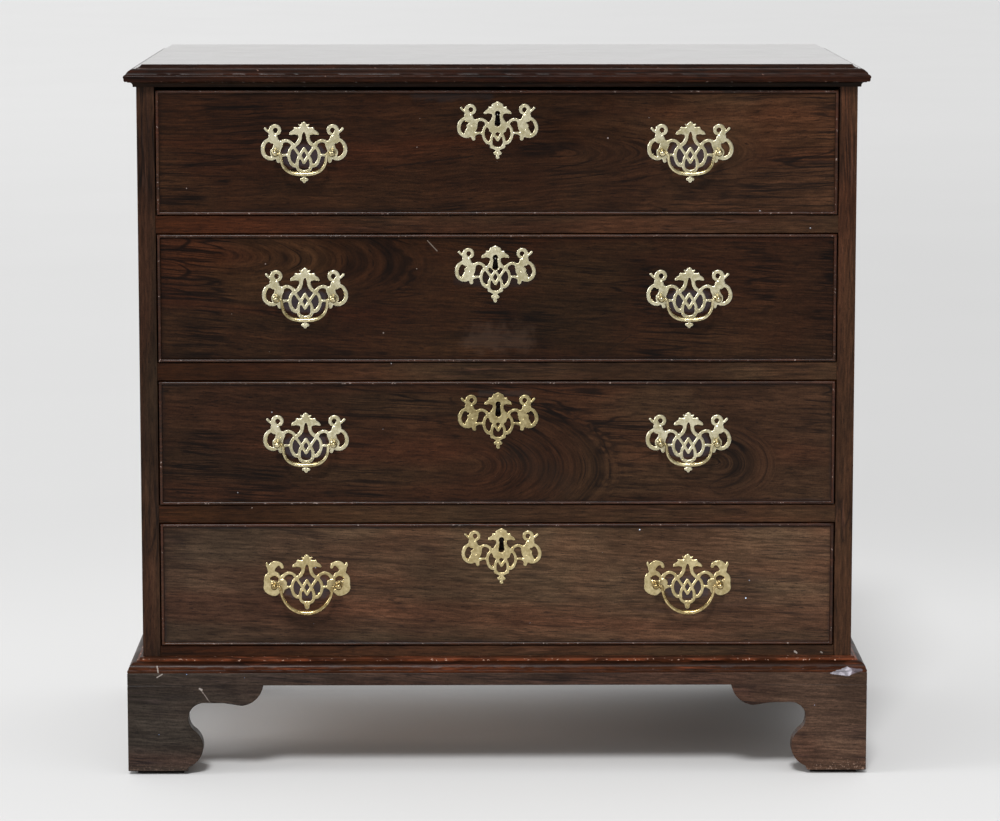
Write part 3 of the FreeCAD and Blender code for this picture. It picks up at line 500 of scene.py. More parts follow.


# How each drawer's front is coloured, from left to right, and figured. An arch has its point, how long it is
# for its height, its reach across the grain and the length over which it starts.
# The tones paint light: each front is paler to the right, as if lit and reflecting more there, and the lowest
# front is paler all over as painted reflection of the pale floor.
drawerLook = {
    1: {"tone": [(0.86, 0.76, 0.76), (0.66, 0.54, 0.52), (1.64, 1.78, 2.1)], "seed": 2.3, "slope": -0.03,
        "sway": 1.25, "veins": 0.8, "figure": [
            {"x": 0.06, "z": 0.768, "long": 6, "reach": 0.052, "tail": 0.1}]},
    2: {"tone": [(0.66, 0.57, 0.58), (0.68, 0.61, 0.57), (0.8, 0.74, 0.8)], "seed": 5.1, "slope": 0.05,
        "sway": 0.8, "veins": 0.85, "olive": 0.8, "figure": [
            {"x": -0.35, "z": 0.635, "long": 4.2, "reach": 0.075, "tail": 0.06}]},
    3: {"tone": [(0.69, 0.78, 0.96), (0.85, 0.84, 0.94), (1.15, 1.35, 1.75)], "seed": 8.4, "slope": 0.04,
        "sway": 0.7, "veins": 0.8, "figure": [
            {"x": -0.04, "z": 0.388, "long": 2, "reach": 0.11, "tail": 0.05},
            {"x": 0.27, "z": 0.402, "long": 1.5, "reach": 0.06, "tail": 0.03}]},
    4: {"tone": [(1.21, 1.61, 2.44), (1.86, 2.35, 3.2), (2.27, 3.05, 4.4)], "seed": 12.7, "slope": 0.045,
        "sway": 0.5, "veins": 0.35},
}


# marks on the fronts, some of them painted sheen: strokeMark's values from `start` on
frontMarksAndSheen = {
    1: [
        ((-0.138, 0.758), (-0.03, 0.772), 0.0014, (0.006, 0.003, 0.002), 0.7, 0.004, 120),
        # painted sheen: a grey haze near the top of the front
        ((-0.1, 0.846), (-0.01, 0.847), 0.01, (0.017, 0.014, 0.014), 0.5, 0.02, 60, None, 0.1)],
    2: [
        # painted sheen: a pale patch low in the middle, and a grey haze above it
        ((-0.026, 0.545), (0.03, 0.546), 0.024, (0.095, 0.055, 0.036), 0.26, 0.05, 70, None, 0),
        ((-0.04, 0.622), (0.03, 0.622), 0.016, (0.017, 0.013, 0.014), 0.6, 0.03, 60, None, 0.1),
        ((-0.086, 0.668), (-0.074, 0.655), 0.0008, (0.2, 0.16, 0.13), 0.7, 0.001),
        ((0.12, 0.52), (0.165, 0.55), 0.0008, (0.01, 0.005, 0.003), 0.7)],
    3: [
        ((0.02, 0.4), (0.08, 0.37), 0.03, (0.014, 0.009, 0.006), 0.34, 0.06, 45, None, 0),
        # painted sheen: a grey haze near the top of the front
        ((-0.02, 0.478), (0.04, 0.478), 0.006, (0.026, 0.022, 0.02), 0.4, 0.01, 80, None, 0.1)],
    4: [],
}
paleNick, lilac = (0.33, 0.29, 0.26), (0.52, 0.49, 0.55)
chips = [
    ((0.4535, 0.1316), (0.437, 0.13), 0.006, (0.24, 0.2, 0.23), 0.9, 0.003, 200, 0.12, 0.6, 0.3),
    ((0.415, 0.1278), (0.436, 0.1298), 0.0062, lilac, 0.96, 0.004, 200, 0.12, 0.8, 0.15),
    ((-0.4235, 0.1375), (-0.422, 0.13), 0.001, paleNick, 0.9),
    ((-0.4235, 0.124), (-0.417, 0.128), 0.001, paleNick, 0.8)]
cracks = [
    ((-0.3694, 0.1086), (-0.356, 0.0892), 0.0008, (0.2, 0.165, 0.145), 0.85, 0.002),
    ((-0.3706, 0.1096), (-0.368, 0.108), 0.0016, paleNick, 0.9, 0.002)]
railNicks = [
    ((0.3715, 0.152), (0.374, 0.15), 0.0016, paleNick, 0.9, 0.002),
    ((0.4045, 0.151), (0.406, 0.15), 0.0012, paleNick, 0.6, 0.002)]


def waxBehind(number):
    # pale wax left on the wood behind the lattice of each handle plate
    low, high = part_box(f"handle_posts_{number}")
    z = (low.z + high.z) / 2 - 4 * mm
    return [
        ((x - 0.014, z), (x + 0.014, z), 0.017, (0.046, 0.038, 0.045), 0.62, 0.012, 180, None, 0.6)
        for x in (-handleAt * mm, handleAt * mm)]


def frontMaterial(number):
    low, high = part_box(f"drawer_front_{number}")
    return polishedWood(
        f"mahogany_front_{number}", worn=0.1, rim=(high.x, low.z, high.z),
        marks=frontMarksAndSheen[number] + waxBehind(number), **drawerLook[number])


frontWood = {number: frontMaterial(number) for number in drawerLook}
# rails, sides and feet take three tones as well: painted light, paler to the right
railWood = polishedWood(
    "mahogany_rails", sway=0.4, veins=0.4, worn=0.5, seed=21, marks=railNicks,
    tone=[(0.8, 0.62, 0.5), (1.05, 1.2, 1.45), (1.22, 1.42, 1.75)])
stileWood = polishedWood(
    "mahogany_sides", grain="up", sway=0.7, worn=0.35, seed=31, lumps=0.04,
    tone=[(0.75, 0.92, 1.25), (1, 1.2, 1.5), (1.35, 1.52, 1.9)])
topWood = polishedWood(
    "mahogany_top", grain="top", seed=41, tone=(1.2, 1.2, 1.2), rough=0.13, shine=0.5, coat=1,
    veins=0.4, lumps=0.05)
edgeWood = polishedWood(
    "mahogany_mouldings", grain="round", sway=0.3, worn=0.5, tone=(0.54, 0.34, 0.29), seed=51,
    arris=0.5, upwardShade=0.15)
# painted shade: the cove under the top's nose is made dark, for the shadow under the nose
coveShadeWood = polishedWood(
    "mahogany_cove_painted_shade", grain="round", sway=0.3, tone=(0.3, 0.3, 0.3), seed=53, arris=0.2, shine=0.06)
baseWood = polishedWood(
    "mahogany_base", grain="round", sway=0.3, worn=1, tone=(1.42, 1, 0.84), seed=57,
    arris=0.9, upwardShade=0.6, marks=chips)
beadWood = polishedWood(
    "mahogany_beads", grain="round", sway=0.3, worn=0.8, tone=(0.8, 0.66, 0.64), seed=61,
    arris=0.4, shine=0.2, rough=0.3)
footWood = polishedWood(
    "mahogany_feet", grain="round", worn=0.4, seed=71, slope=0.05, marks=cracks + chips, bruised=True,
    tone=[(0.96, 1.6, 3.1), (1.4, 1.9, 3.3), (1.8, 2.17, 3.5)])
liningThick = 11 * mm
oakWood = plainWood(
    "oak_linings", linear(104, 78, 52), linear(150, 118, 82),
    turnAt=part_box("drawer_linings_1")[1].x - liningThick)
oakFlat = plainWood("oak_boards", linear(100, 75, 50), linear(142, 111, 77))
pineWood = plainWood("pine_boards", linear(98, 70, 44), linear(142, 108, 72), rough=0.78)
backWood = plainWood(
    "pine_back", linear(76, 54, 36), linear(124, 94, 64), rough=0.82,
    planks=(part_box("back_boards")[0].z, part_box("back_boards")[1].z, 4))
handleBrass = oldBrass("brass_upper", linear(246, 239, 210), linear(186, 177, 139), 0.34)
lowBrass = oldBrass("brass_low", linear(234, 218, 171), linear(179, 161, 115), 0.32)
dullBrass = oldBrass("brass_dull", linear(214, 200, 152), linear(146, 131, 92), 0.38)
rubbedBrass = oldBrass("brass_rubbed", linear(255, 243, 200), linear(150, 135, 94), 0.2)
rubbedLow = oldBrass("brass_rubbed_low", linear(246, 224, 168), linear(142, 120, 76), 0.2)
lockIron = rustedIron("iron_locks")
brightSteel = oldBrass("steel_pin", (0.82, 0.82, 0.8), (0.5, 0.48, 0.45), 0.22)
darkPad = feltPad("pad_felt")
print("materials made")


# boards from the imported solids, with eased edges

easing = {"flat": 0.5, "crisp": 35, "sharp": 40, "segments": 2}  # the angles in degrees


def easedCopy(node, width, material):
    # a board's own solid with doubled corners merged, flat faces whole and every arris eased, inside its box
    mesh = bpy.data.meshes.new(node + "_eased")
    reworked(nodes[node].data, mesh, lambda work: bmesh.ops.dissolve_limit(
        work, angle_limit=math.radians(easing["flat"]), verts=work.verts, edges=work.edges, delimit=set()))
    mesh.materials.clear()
    piece = crisp(added(node + "_eased", mesh), easing["crisp"])
    bevel = piece.modifiers.new("arris", "BEVEL")
    bevel.width = width
    bevel.segments = easing["segments"]
    bevel.limit_method = "ANGLE"
    bevel.angle_limit = math.radians(easing["sharp"])
    bpy.context.view_layer.update()
    cut = bpy.data.meshes.new_from_object(piece.evaluated_get(bpy.context.evaluated_depsgraph_get()))
    piece.modifiers.remove(bevel)
    corners = np.empty(len(cut.vertices) * 3)
    cut.vertices.foreach_get("co", corners)
    corners = np.clip(corners.reshape(-1, 3), *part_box(node))
    cut.vertices.foreach_set("co", corners.ravel())
    cut.update()
    piece.data = cut
    dress(piece, material, nodes[node]["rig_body"], "mahogany", node)


easedBoards = {
    # node: (arris width in mm, material)
    "side_left": (0.8, stileWood),
    "side_right": (0.8, stileWood),
    "drawer_rails": (0.6, railWood),
    "plinth_frame": (0.5, footWood),
    "front_feet": (0.7, footWood),
    "back_feet": (0.7, footWood),
}
keptNodes = {
    "dustboards": pineWood, "drawer_runners": oakFlat, "drawer_stops": oakFlat, "bottom_board": pineWood,
    "back_boards": backWood, "foot_blocks": pineWood, "foot_pads": darkPad,
}
for number in drawerNumbers:
    easedBoards[f"drawer_front_{number}"] = (0.3, frontWood[number])
    keptNodes[f"drawer_linings_{number}"] = oakWood
    keptNodes[f"drawer_bottom_{number}"] = oakFlat
    keptNodes[f"lock_{number}"] = lockIron
    keptNodes[f"lock_bolt_{number}"] = lockIron
for name, (arris, material) in easedBoards.items():
    easedCopy(name, arris * mm, material)
for name, material in keptNodes.items():
    nodes[name].data.materials.clear()
    nodes[name].data.materials.append(material)
print("boards eased")


# mouldings: a profile carried round three sides

def arcPoints(start, middle, end, count):
    # points on the circle through three points, from the first to the last
    (ax, ay), (bx, by), (cx, cy) = start, middle, end
    d = 2 * (ax * (by - cy) + bx * (cy - ay) + cx * (ay - by))
    ux = ((ax**2 + ay**2) * (by - cy) + (bx**2 + by**2) * (cy - ay) + (cx**2 + cy**2) * (ay - by)) / d
    uy = ((ax**2 + ay**2) * (cx - bx) + (bx**2 + by**2) * (ax - cx) + (cx**2 + cy**2) * (bx - ax)) / d
    a0, a1, a2 = (math.atan2(p[1] - uy, p[0] - ux) for p in (start, middle, end))
    turn = (a2 - a0) % (2 * math.pi)
    if (a1 - a0) % (2 * math.pi) > turn:
        turn -= 2 * math.pi
    t = a0 + turn * np.linspace(0, 1, count)
    r = math.hypot(ax - ux, ay - uy)
    return np.stack([ux + r * np.cos(t), uy + r * np.sin(t)], -1)


def profileLine(steps, count=7):
    # a list of corners and (through, to) arcs as one array of points
    points = [steps[0]]
    for step in steps[1:]:
        arc = isinstance(step[0], tuple)
        points += list(arcPoints(points[-1], *step, count)[1:]) if arc else [step]
    return np.array(points, float)


frontStations, sideStations = 170, 44
runStations = frontStations - 2 + 2 * sideStations
stations = np.arange(runStations)[:, None]
onSide = (stations < sideStations) | (stations >= runStations - sideStations)
mouldingCrisp = 32      # degrees
mouldingPower = 6


def sweepPath(offset, halfWide, frontAt, backAt, sink):
    # Points of a left side, a front and a right side, for each station and each offset out of the box.
    # A run's ends follow the offset, so neighbouring runs meet in a mitre. The points then sink inwards.
    side, front = np.linspace(0, 1, sideStations)[:, None], np.linspace(-1, 1, frontStations)[:, None]
    wide, ahead = halfWide + offset[None, :], frontAt - offset[None, :]
    leftX, leftY = -wide + 0 * side, backAt + (ahead - backAt) * side
    midX, midY = wide * front, ahead + 0 * front
    x = np.concatenate([leftX, midX[1:-1], -leftX[::-1]])
    y = np.concatenate([leftY, midY[1:-1], leftY[::-1]])
    return x - np.where(onSide, np.sign(x) * sink, 0), y + np.where(onSide, 0, sink)


def dents(seed, power, wear, exposed):
    # small uneven sinkings of the exposed points, rarer at a higher power, and none at the two ends
    made = np.random.default_rng(seed).random((runStations, len(exposed))) ** power * wear * mm * exposed
    made[:2] = made[-2:] = 0
    return made


def arrisShares(points):
    # one number a profile point: how sharply the line turns there, from 0 to 1 at a right angle
    before, after = points - np.roll(points, 1, 0), np.roll(points, -1, 0) - points
    turn = np.arctan2(
        before[:, 0] * after[:, 1] - before[:, 1] * after[:, 0], (before * after).sum(1))
    return np.clip(np.abs(turn) / 0.9 - 0.25, 0, 1)


mouldings = {
    # each profile is closed: (out from the case, up from the moulding's underside)
    "top_cove": {
        "node": "top_moulding", "material": coveShadeWood, "wear": 0.25, "seed": 3,
        "steps": [(0, 0), (3.8, 0), (3.8, 1.6), ((5, 4.4), (8.4, 5.7)), (9.8, 5.7), (9.8, 6.7), (0, 6.7)]},
    "base_lip": {
        "node": "base_moulding", "material": baseWood, "wear": 0.5, "seed": 5,
        "steps": [
            (0, 0), (17.9, 0), ((18.5, 1.6), (18.1, 3.6)), (17, 4.4), (17, 5.3), (17.1, 5.9),
            ((13.9, 10.9), (7.3, 13.4)), (7.3, 14.2), (4.5, 14.8), (3.7, 17.2), (3.2, 17.6), (0, 17.6)]},
}


def threeSides(name, node, material, wear, seed, steps):
    # the profile carried round three sides; a dent sinks towards the profile's middle
    profile = profileLine(steps)
    out, up = profile[:, 0] * mm, profile[:, 1] * mm
    centre = out.mean(), up.mean()
    away = np.hypot(out - centre[0], up - centre[1])
    dent = dents(seed, mouldingPower, wear, out > out.max() * 0.3)
    x, y = sweepPath(out, caseHalf, caseFront, caseBack, dent * ((out - centre[0]) / away))
    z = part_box(node)[0].z + up - dent * ((up - centre[1]) / away)
    piece = closedObject(
        name, flatPoints(x, y, z), tubeFaces(runStations, len(out)), mouldingCrisp,
        np.tile(arrisShares(profile), runStations))
    dress(piece, material, "carcass", "mahogany", node)


for name, look in mouldings.items():
    threeSides(name, **look)

topEdge = {
    # the edge as (inset, height over the underside), from the flat of the top down to the underside
    "steps": [
        (20.8, 20.5), (20.6, 19.7), (20, 19.3), ((17.9, 17.2), (14.6, 16.6)), (14.6, 15.9),
        ((7.2, 14), (2.6, 8.8)), (1.4, 8.2), ((0.1, 6.9), (0.3, 4)), (0.4, 1.2), (1.6, 0)],
    "arc": 9,
    "wear": 0.45,
    "seed": 11,
    "power": 7,
    "levelFrom": 0.98,      # faces whose normal rises more than this are the flat of the top
}


def topBoard():
    # one board: the moulded edge runs round three sides and ends in a flat above, below and behind
    lower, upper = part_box("top_board")
    line = profileLine(topEdge["steps"], topEdge["arc"])
    inset, rise = line[:, 0] * mm, line[:, 1] * mm
    dent = dents(topEdge["seed"], topEdge["power"], topEdge["wear"], np.arange(len(inset)) > 1)
    x, y = sweepPath(-inset, upper.x, lower.y, upper.y, dent)
    index = np.arange(x.size).reshape(x.shape)
    faces = gridFaces(*x.shape) + [
        index[:, 0].tolist(), index[::-1, -1].tolist(), index[0].tolist() + index[-1, ::-1].tolist()]
    shares = arrisShares(line)
    shares[0] = 1
    piece = closedObject(
        "top_plank", flatPoints(x, y, lower.z + rise), faces, mouldingCrisp, np.tile(shares, runStations))
    dress(piece, edgeWood, "carcass", "mahogany", "top_board")
    piece.data.materials.append(topWood)
    upwards = np.zeros(len(piece.data.polygons) * 3, np.float32)
    piece.data.polygons.foreach_get("normal", upwards)
    level = (upwards.reshape(-1, 3)[:, 2] > topEdge["levelFrom"]).astype(np.int32)
    piece.data.polygons.foreach_set("material_index", level)


topBoard()
print("mouldings run")


# cockbeads: a half-round carried round each front

beadLook = {
    "wide": 4, "proud": 2.5, "buried": 10,
    "arc": 9, "across": 150, "upright": 34,  # points round the section, along a rail and up a side
    "wear": 0.22, "seed": 100, "power": 8, "crisp": 50,
}


def cockbead(number):
    # the section is a half-round on a flat strip; out is towards the viewer, in is away from the edge
    low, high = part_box(f"cockbeads_{number}")
    half = beadLook["wide"] / 2
    turn = np.linspace(math.pi, 0, beadLook["arc"])
    spring, root = beadLook["proud"] - half, [-beadLook["buried"]]
    inward = np.concatenate([[0], (half + half * np.cos(turn)), [beadLook["wide"]]]) * mm
    outward = np.concatenate([root, spring + half * np.sin(turn), root]) * mm
    corners = [(low.x, low.z, 1, 1), (high.x, low.z, -1, 1), (high.x, high.z, -1, -1), (low.x, high.z, 1, -1)]
    runs = []
    for index, (x0, z0, ax, az) in enumerate(corners):
        x1, z1 = corners[(index + 1) % 4][:2]
        level = z0 == z1
        t = np.linspace(0, 1, beadLook["across" if level else "upright"], endpoint=False)
        sideX, sideZ = np.full(len(t), 0 if level else ax), np.full(len(t), az if level else 0)
        sideX[0], sideZ[0] = ax, az
        runs.append([x0 + (x1 - x0) * t, z0 + (z1 - z0) * t, sideX, sideZ])
    pathX, pathZ, inX, inZ = np.concatenate(runs, 1)[:, :, None]
    dice = np.random.default_rng(beadLook["seed"] + number)
    rub_and_highlight = dice.random((len(pathX), len(inward))) ** beadLook["power"] * beadLook["wear"] * mm
    rub_and_highlight[:, :2] = rub_and_highlight[:, -2:] = 0
    piece = closedObject(
        f"bead_{number}", flatPoints(pathX + inX * inward, caseFront - outward + rub_and_highlight, pathZ + inZ * inward),
        gridFaces(len(pathX), len(inward), closedRows=True, closedColumns=True), beadLook["crisp"],
        np.tile(np.clip(outward / outward.max() * 1.6 - 0.7, 0, 1), len(pathX)))
    dress(piece, beadWood, f"drawer_{number}", "mahogany", f"cockbeads_{number}")


for number in drawerNumbers:
    cockbead(number)
print("cockbeads run")


# pierced brasses
# A plate is drawn in strokes, each a line of (x, z, radius) in mm about the middle of the post line, for its
# right half. The depth of a point is its distance to the nearest stroke, with crossings filled a little.

crest = [
    [(0, 30.2, 4.8), (0, 34.6, 3.4)],
    [(2, 31.6, 2.4), (6.2, 34.6, 0.8)],
    [(3, 28, 3.4), (8.6, 28, 3.2), (10.9, 30, 1.5)],
    [(5, 24.8, 3.6), (11.2, 25.4, 3.1), (15, 24.2, 2.3), (17, 22.8, 1.2)],
]
neck = [
    [(4.8, 25, 3), (4.7, 20, 2.2), (5.4, 16, 2.2), (7.8, 11.8, 2.2), (12.4, 8, 2.2)],
]
lattice = [
    [(14.6, 9.8, 1.9), (10.2, 3.6, 1.7), (5.8, -2.8, 1.7), (0, -12.2, 1.8)],
    [(0, 5, 1.8), (5, -3.2, 1.7), (7.9, -9.4, 1.8), (8.5, -15.8, 1.8), (6.6, -21.2, 2), (0, -24.2, 2.3)],
    [(12.6, 8, 2), (16.8, 4, 1.9), (18.8, -2.8, 1.9), (17.6, -9.6, 1.9), (14.6, -14.4, 2.2),
     (11.4, -15.8, 2.3), (8.8, -14.4, 1.8)],
]
arches = [
    [(12.8, 8.2, 2), (16.6, 12.8, 1.9), (22.2, 14.8, 2), (27.4, 12.8, 2.1), (30, 10, 2.4)],
    [(18.8, -3.6, 1.7), (22.8, -3, 1.6), (27, -3.4, 1.9), (30.5, -4.6, 2.6)],
]
finial = [
    [(0, -24, 2.2), (0, -32, 1.3)],
    [(0, -32.4, 1.5), (3, -33, 2)],
    [(0, -35.4, 2)],
]
curledEar = [
    [(31.6, 9.8, 5.6), (33.6, 4.4, 5.2)],
    [(35, 0, 6.6)],
    [(32.6, -5, 2.8), (31.4, -10.4, 2.2)],
    [(36.6, 14.4, 3), (42.6, 16, 2.2), (48, 12.2, 2.3), (50.6, 5, 2.4), (49.2, -2, 2.4),
     (44.8, -6.2, 2.4), (39.6, -7.2, 2.5), (36.4, -5.4, 2.8)],
    [(34.6, 15.4, 3.4), (35.4, 18, 3.4)],
    [(38.6, 15.6, 4.4), (39.6, 19.6, 4)],
    [(39.2, 22.6, 3.6), (40.6, 27.4, 2.7), (38.8, 31.4, 2.5), (35.2, 32.8, 2.3), (31.4, 31.4, 2.2),
     (29.9, 27.6, 2.1), (31.4, 23.9, 2), (34.2, 22.8, 1.5)],
    [(41.4, 25.2, 1.9), (44.6, 26.4, 1.4), (47.4, 29.6, 1.6)],
]
crescentEar = [
    [(30.4, 1.6, 5.6)],
    [(37, 12.8, 2.6), (42.6, 13, 3.6), (47.8, 8.4, 5.2), (49.6, 0, 4), (48, -5.8, 5.4), (41, -10, 4.6),
     (36.4, -8.6, 3.4)],
    [(40.6, -1.2, 6.4)],
    [(34.6, 8.4, 3), (38.4, 13.2, 2.8), (43, 15, 3.8), (44.4, 20, 4.8), (41, 25, 4.6), (36, 26.6, 3),
     (32.2, 25.2, 2.4), (30.8, 22, 2)],
    [(46, 20, 2.4), (49.2, 24.6, 1.8), (49.6, 27.6, 0.9)],
    [(26, -3.2, 2.3), (30, -5.4, 2.9), (30.6, -10.4, 1.5)],
]
crescentFinial = [[(0, -24, 3.4), (0, -28.5, 3)]]
crescentEyes = [[(36.6, 7, 1.4), (40.2, 8.6, 2.2), (44.4, 7.4, 1.5)]]
keyPanel = [
    [(0, 29, 8.6), (0, 22, 7), (0, 16, 6.4), (0, 9, 8.2)],
    [(0, 5.4, 5.6), (8.4, 5.2, 4.2)],
    [(3, 1.6, 4.6), (8.4, 0.4, 2.6)],
]
openPanel = [
    [(0, 29, 8.6), (0, 22, 7), (0, 16, 6.4), (0, 12, 7)],
]
earBoss = [
    [(31.6, 9.8, 5.8), (33.6, 3, 6.2), (38.4, -3.6, 5)],
    [(32.6, -5, 3), (31.4, -10.6, 2.4)],
    [(38, 6.4, 2.6)],
]
keyFinial = [
    [(0, -24, 3), (0, -34, 1.4)],
    [(0, -28.6, 2.2), (3, -29.4, 2.4)],
    [(0, -34.6, 2.5)],
    [(7.6, -20.6, 2.6)],
]

stem = crest + neck + lattice + arches
keyStem, keyEars = stem + keyFinial, earBoss + curledEar[3:]
plateKinds = {
    "curled": {"strokes": stem + finial + curledEar, "wide": 107.4},
    "crescent": {"strokes": stem + crescentFinial + crescentEar, "eyes": crescentEyes, "wide": 107.4},
    "web": {"strokes": keyStem + keyPanel + keyEars, "wide": 101, "keyhole": True},
    "open": {"strokes": keyStem + openPanel + keyEars, "wide": 101, "keyhole": True},
}
plateLook = {
    "drawn": 107.4,         # width that the strokes are drawn at
    "reach": (56, 41),      # mm that the grid goes sideways, and up and down
    "pitch": 0.55,          # mm between grid points
    "snap": 0.06,           # points nearer the outline than this lie inside it
    "rim": 0.75,            # thickness at the filed edge
    "slope": 1,             # width of the chamfer
    "thick": 1.6,
    "fillet": 0.9,          # how far a crossing is filled
}
keyhole = {"head": (22.4, 3.4), "skirt": (20, 2.5), "foot": (9.4, 3.8)}  # height and radius


def strokeDistance(x, z, strokes):
    # distance to a set of tapering strokes, blended where they meet:
    # d = -k ln(sum exp(-d_i / k)), over each stroke's nearest point
    total = np.zeros_like(x)
    sharp = plateLook["fillet"] / 3
    for stroke in strokes:
        points = np.array(smoothLine(stroke), float)
        best = np.full(x.shape, 1e3)
        if len(points) == 1:
            best = np.hypot(x - points[0, 0], z - points[0, 1]) - points[0, 2]
        for (ax, az, ar), (bx, bz, br) in zip(points[:-1], points[1:]):
            dx, dz = bx - ax, bz - az
            t = np.clip(((x - ax) * dx + (z - az) * dz) / (dx * dx + dz * dz), 0, 1)
            best = np.minimum(best, np.hypot(x - ax - dx * t, z - az - dz * t) - (ar + (br - ar) * t))
        total += np.exp(-np.clip(best, -6, 12) / sharp)
    return -sharp * np.log(np.maximum(total, 1e-12))


def smoothLine(points, pieces=5):
    # Catmull-Rom points through a stroke's own
    if len(points) < 3:
        return points
    p = np.array([points[0]] + list(points) + [points[-1]], float)
    t = np.linspace(0, 1, pieces, endpoint=False)[:, None]
    runs = []
    for a, b, c, d in zip(p[:-3], p[1:-2], p[2:-1], p[3:]):
        square, cube = 2 * a - 5 * b + 4 * c - d, 3 * b - a - 3 * c + d
        runs.append(0.5 * (2 * b + (c - a) * t + square * t**2 + cube * t**3))
    return np.concatenate(runs + [p[-1:]])


def keyholeDistance(x, z):
    # a round head over a skirt that widens to a rounded foot
    (headAt, head), (high, narrow), (low, wide) = keyhole.values()
    t = np.clip((high - z) / (high - low), 0, 1)
    skirt = np.hypot(x, z - (high - (high - low) * t)) - (narrow + (wide - narrow) * t)
    return np.minimum(np.hypot(x, z - headAt) - head, skirt)


def piercedPlate(kind):
    # the part of a grid that lies inside the outline, its cut triangles ending on the outline itself
    look, pitch = plateKinds[kind], plateLook["pitch"]
    reach = [int(far / pitch) for far in plateLook["reach"]]
    gx, gz = np.meshgrid(*[np.arange(-far, far + 1) * pitch for far in reach], indexing="ij")
    depth = strokeDistance(np.abs(gx), gz, look["strokes"])
    for eye in look.get("eyes", []):
        depth = np.maximum(depth, -strokeDistance(np.abs(gx), gz, [eye]))
    if "keyhole" in look:
        depth = np.maximum(depth, -keyholeDistance(gx, gz))
    flat = np.where(np.abs(depth) < plateLook["snap"], -plateLook["snap"], depth).ravel()
    index = np.arange(gx.size).reshape(gx.shape)
    a, b = index[:-1, :-1].ravel(), index[1:, :-1].ravel()
    c, d = index[1:, 1:].ravel(), index[:-1, 1:].ravel()
    triangles = np.concatenate([np.stack([a, b, c], -1), np.stack([a, c, d], -1)])
    inside = flat[triangles] < 0
    count = inside.sum(1)

    def rolled(mask, wanted):
        # the triangles of one kind, turned so that their odd corner comes first
        chosen, flags = triangles[mask], inside[mask]
        turn = np.argmax(flags == wanted, axis=1)
        order = (turn[:, None] + np.arange(3)[None, :]) % 3
        return np.take_along_axis(chosen, order, 1)

    one, two = rolled(count == 1, True), rolled(count == 2, False)
    cuts = np.concatenate([kept[:, [0, other]] for kept in (one, two) for other in (1, 2)])
    keys, where = np.unique(np.sort(cuts, 1), axis=0, return_inverse=True)
    near, far = keys[:, 0], keys[:, 1]
    share = flat[near] / (flat[near] - flat[far])
    allX, allZ = (
        np.concatenate([grid, grid[near] * (1 - share) + grid[far] * share])
        for grid in (gx.ravel(), gz.ravel()))
    allDepth = np.concatenate([-flat, np.zeros(len(keys))])
    oneA, oneB, twoA, twoB = np.split(
        where.ravel() + gx.size, np.cumsum([len(one), len(one), len(two)]))
    faces = np.concatenate([
        triangles[count == 3], np.stack([one[:, 0], oneA, oneB], -1),
        np.stack([twoA, two[:, 1], two[:, 2]], -1), np.stack([twoA, two[:, 2], twoB], -1)])
    rimEdges = np.concatenate([np.stack([oneA, oneB], -1), np.stack([twoB, twoA], -1)])
    used, faces = np.unique(faces, return_inverse=True)
    faces = faces.reshape(-1, 3)
    renumber = np.full(len(allX), -1)
    renumber[used] = np.arange(len(used))
    rimEdges = renumber[rimEdges]
    scale = look["wide"] / plateLook["drawn"]
    x, z = allX[used] * scale, allZ[used] * scale
    climb = np.clip(allDepth[used] / plateLook["slope"], 0, 1)
    proud = plateLook["rim"] + (plateLook["thick"] - plateLook["rim"]) * (1 - (1 - climb) ** 1.6)
    corners = np.concatenate([flatPoints(x, -proud, z), flatPoints(x, 0, z)]) * mm
    count = len(x)
    walls = np.stack([rimEdges[:, 0], rimEdges[:, 0] + count, rimEdges[:, 1] + count, rimEdges[:, 1]], -1)
    allFaces = faces.tolist() + (faces[:, ::-1] + count).tolist() + walls.tolist()
    return corners, allFaces, np.concatenate([1 - climb, np.ones(count)])


def placed(block, x, y, z):
    vertices, faces = block[:2]
    return vertices + np.array([x, y, z]), faces


plates = {kind: piercedPlate(kind) for kind in plateKinds}
print("plates pierced", {kind: len(block[1]) for kind, block in plates.items()})


# posts: turned, with a ball head that the bail swings in

postLook = {
    "around": 28,
    "ball": 4.1,
    "pivot": 15.5,          # mm from the drawer front to the bail's hinge line
    "frontThick": 22,
    "nut": 4,
    "collar": [
        (0.9, 0), (2.2, -0.2), (2.2, -1.6), (4.8, -1.6), (4.9, -2.2), (4.5, -2.9), (3.5, -3.4), (2.8, -4.1),
        (2.3, -5.4), (2.1, -7.4), (2.15, -9.6), (2.5, -11)],
}


def turned(profile, around):
    # a profile of (radius, y) spun about the y axis, with closed ends
    r, y = profile[:, :1], profile[:, 1:]
    t = np.arange(around) * 2 * math.pi / around
    return flatPoints(r * np.cos(t), y, r * np.sin(t)) * mm, tubeFaces(len(r), around, capsTurned=True)


def postBlock():
    # collar, waist and ball, then the shank through the front and its square nut
    ball, pivot = postLook["ball"], postLook["pivot"]
    t = np.linspace(-0.42 * math.pi, 0.4 * math.pi, 13)
    head = np.stack([ball * np.cos(t), -pivot - ball * np.sin(t)], -1)
    tip = np.array([[1.7, -pivot - ball * 0.98], [1.5, -pivot - ball - 0.2], [0.7, -pivot - ball - 0.35]])
    upper = turned(np.concatenate([postLook["collar"], head, tip]), postLook["around"])
    deep, nut = postLook["frontThick"], postLook["nut"]
    shank = turned(np.array([[1, -1], [1.7, -0.8], [1.7, deep + nut + 0.6], [1.1, deep + nut + 1.2]]), 10)
    nutLine = np.array([
        [3, deep], [6.9, deep], [7.4, deep + 0.5],
        [7.4, deep + nut - 0.6], [6.6, deep + nut], [3, deep + nut]])
    return joined([upper, shank, turned(nutLine, 4)])


# bails: a swelling rod with a pin at each end

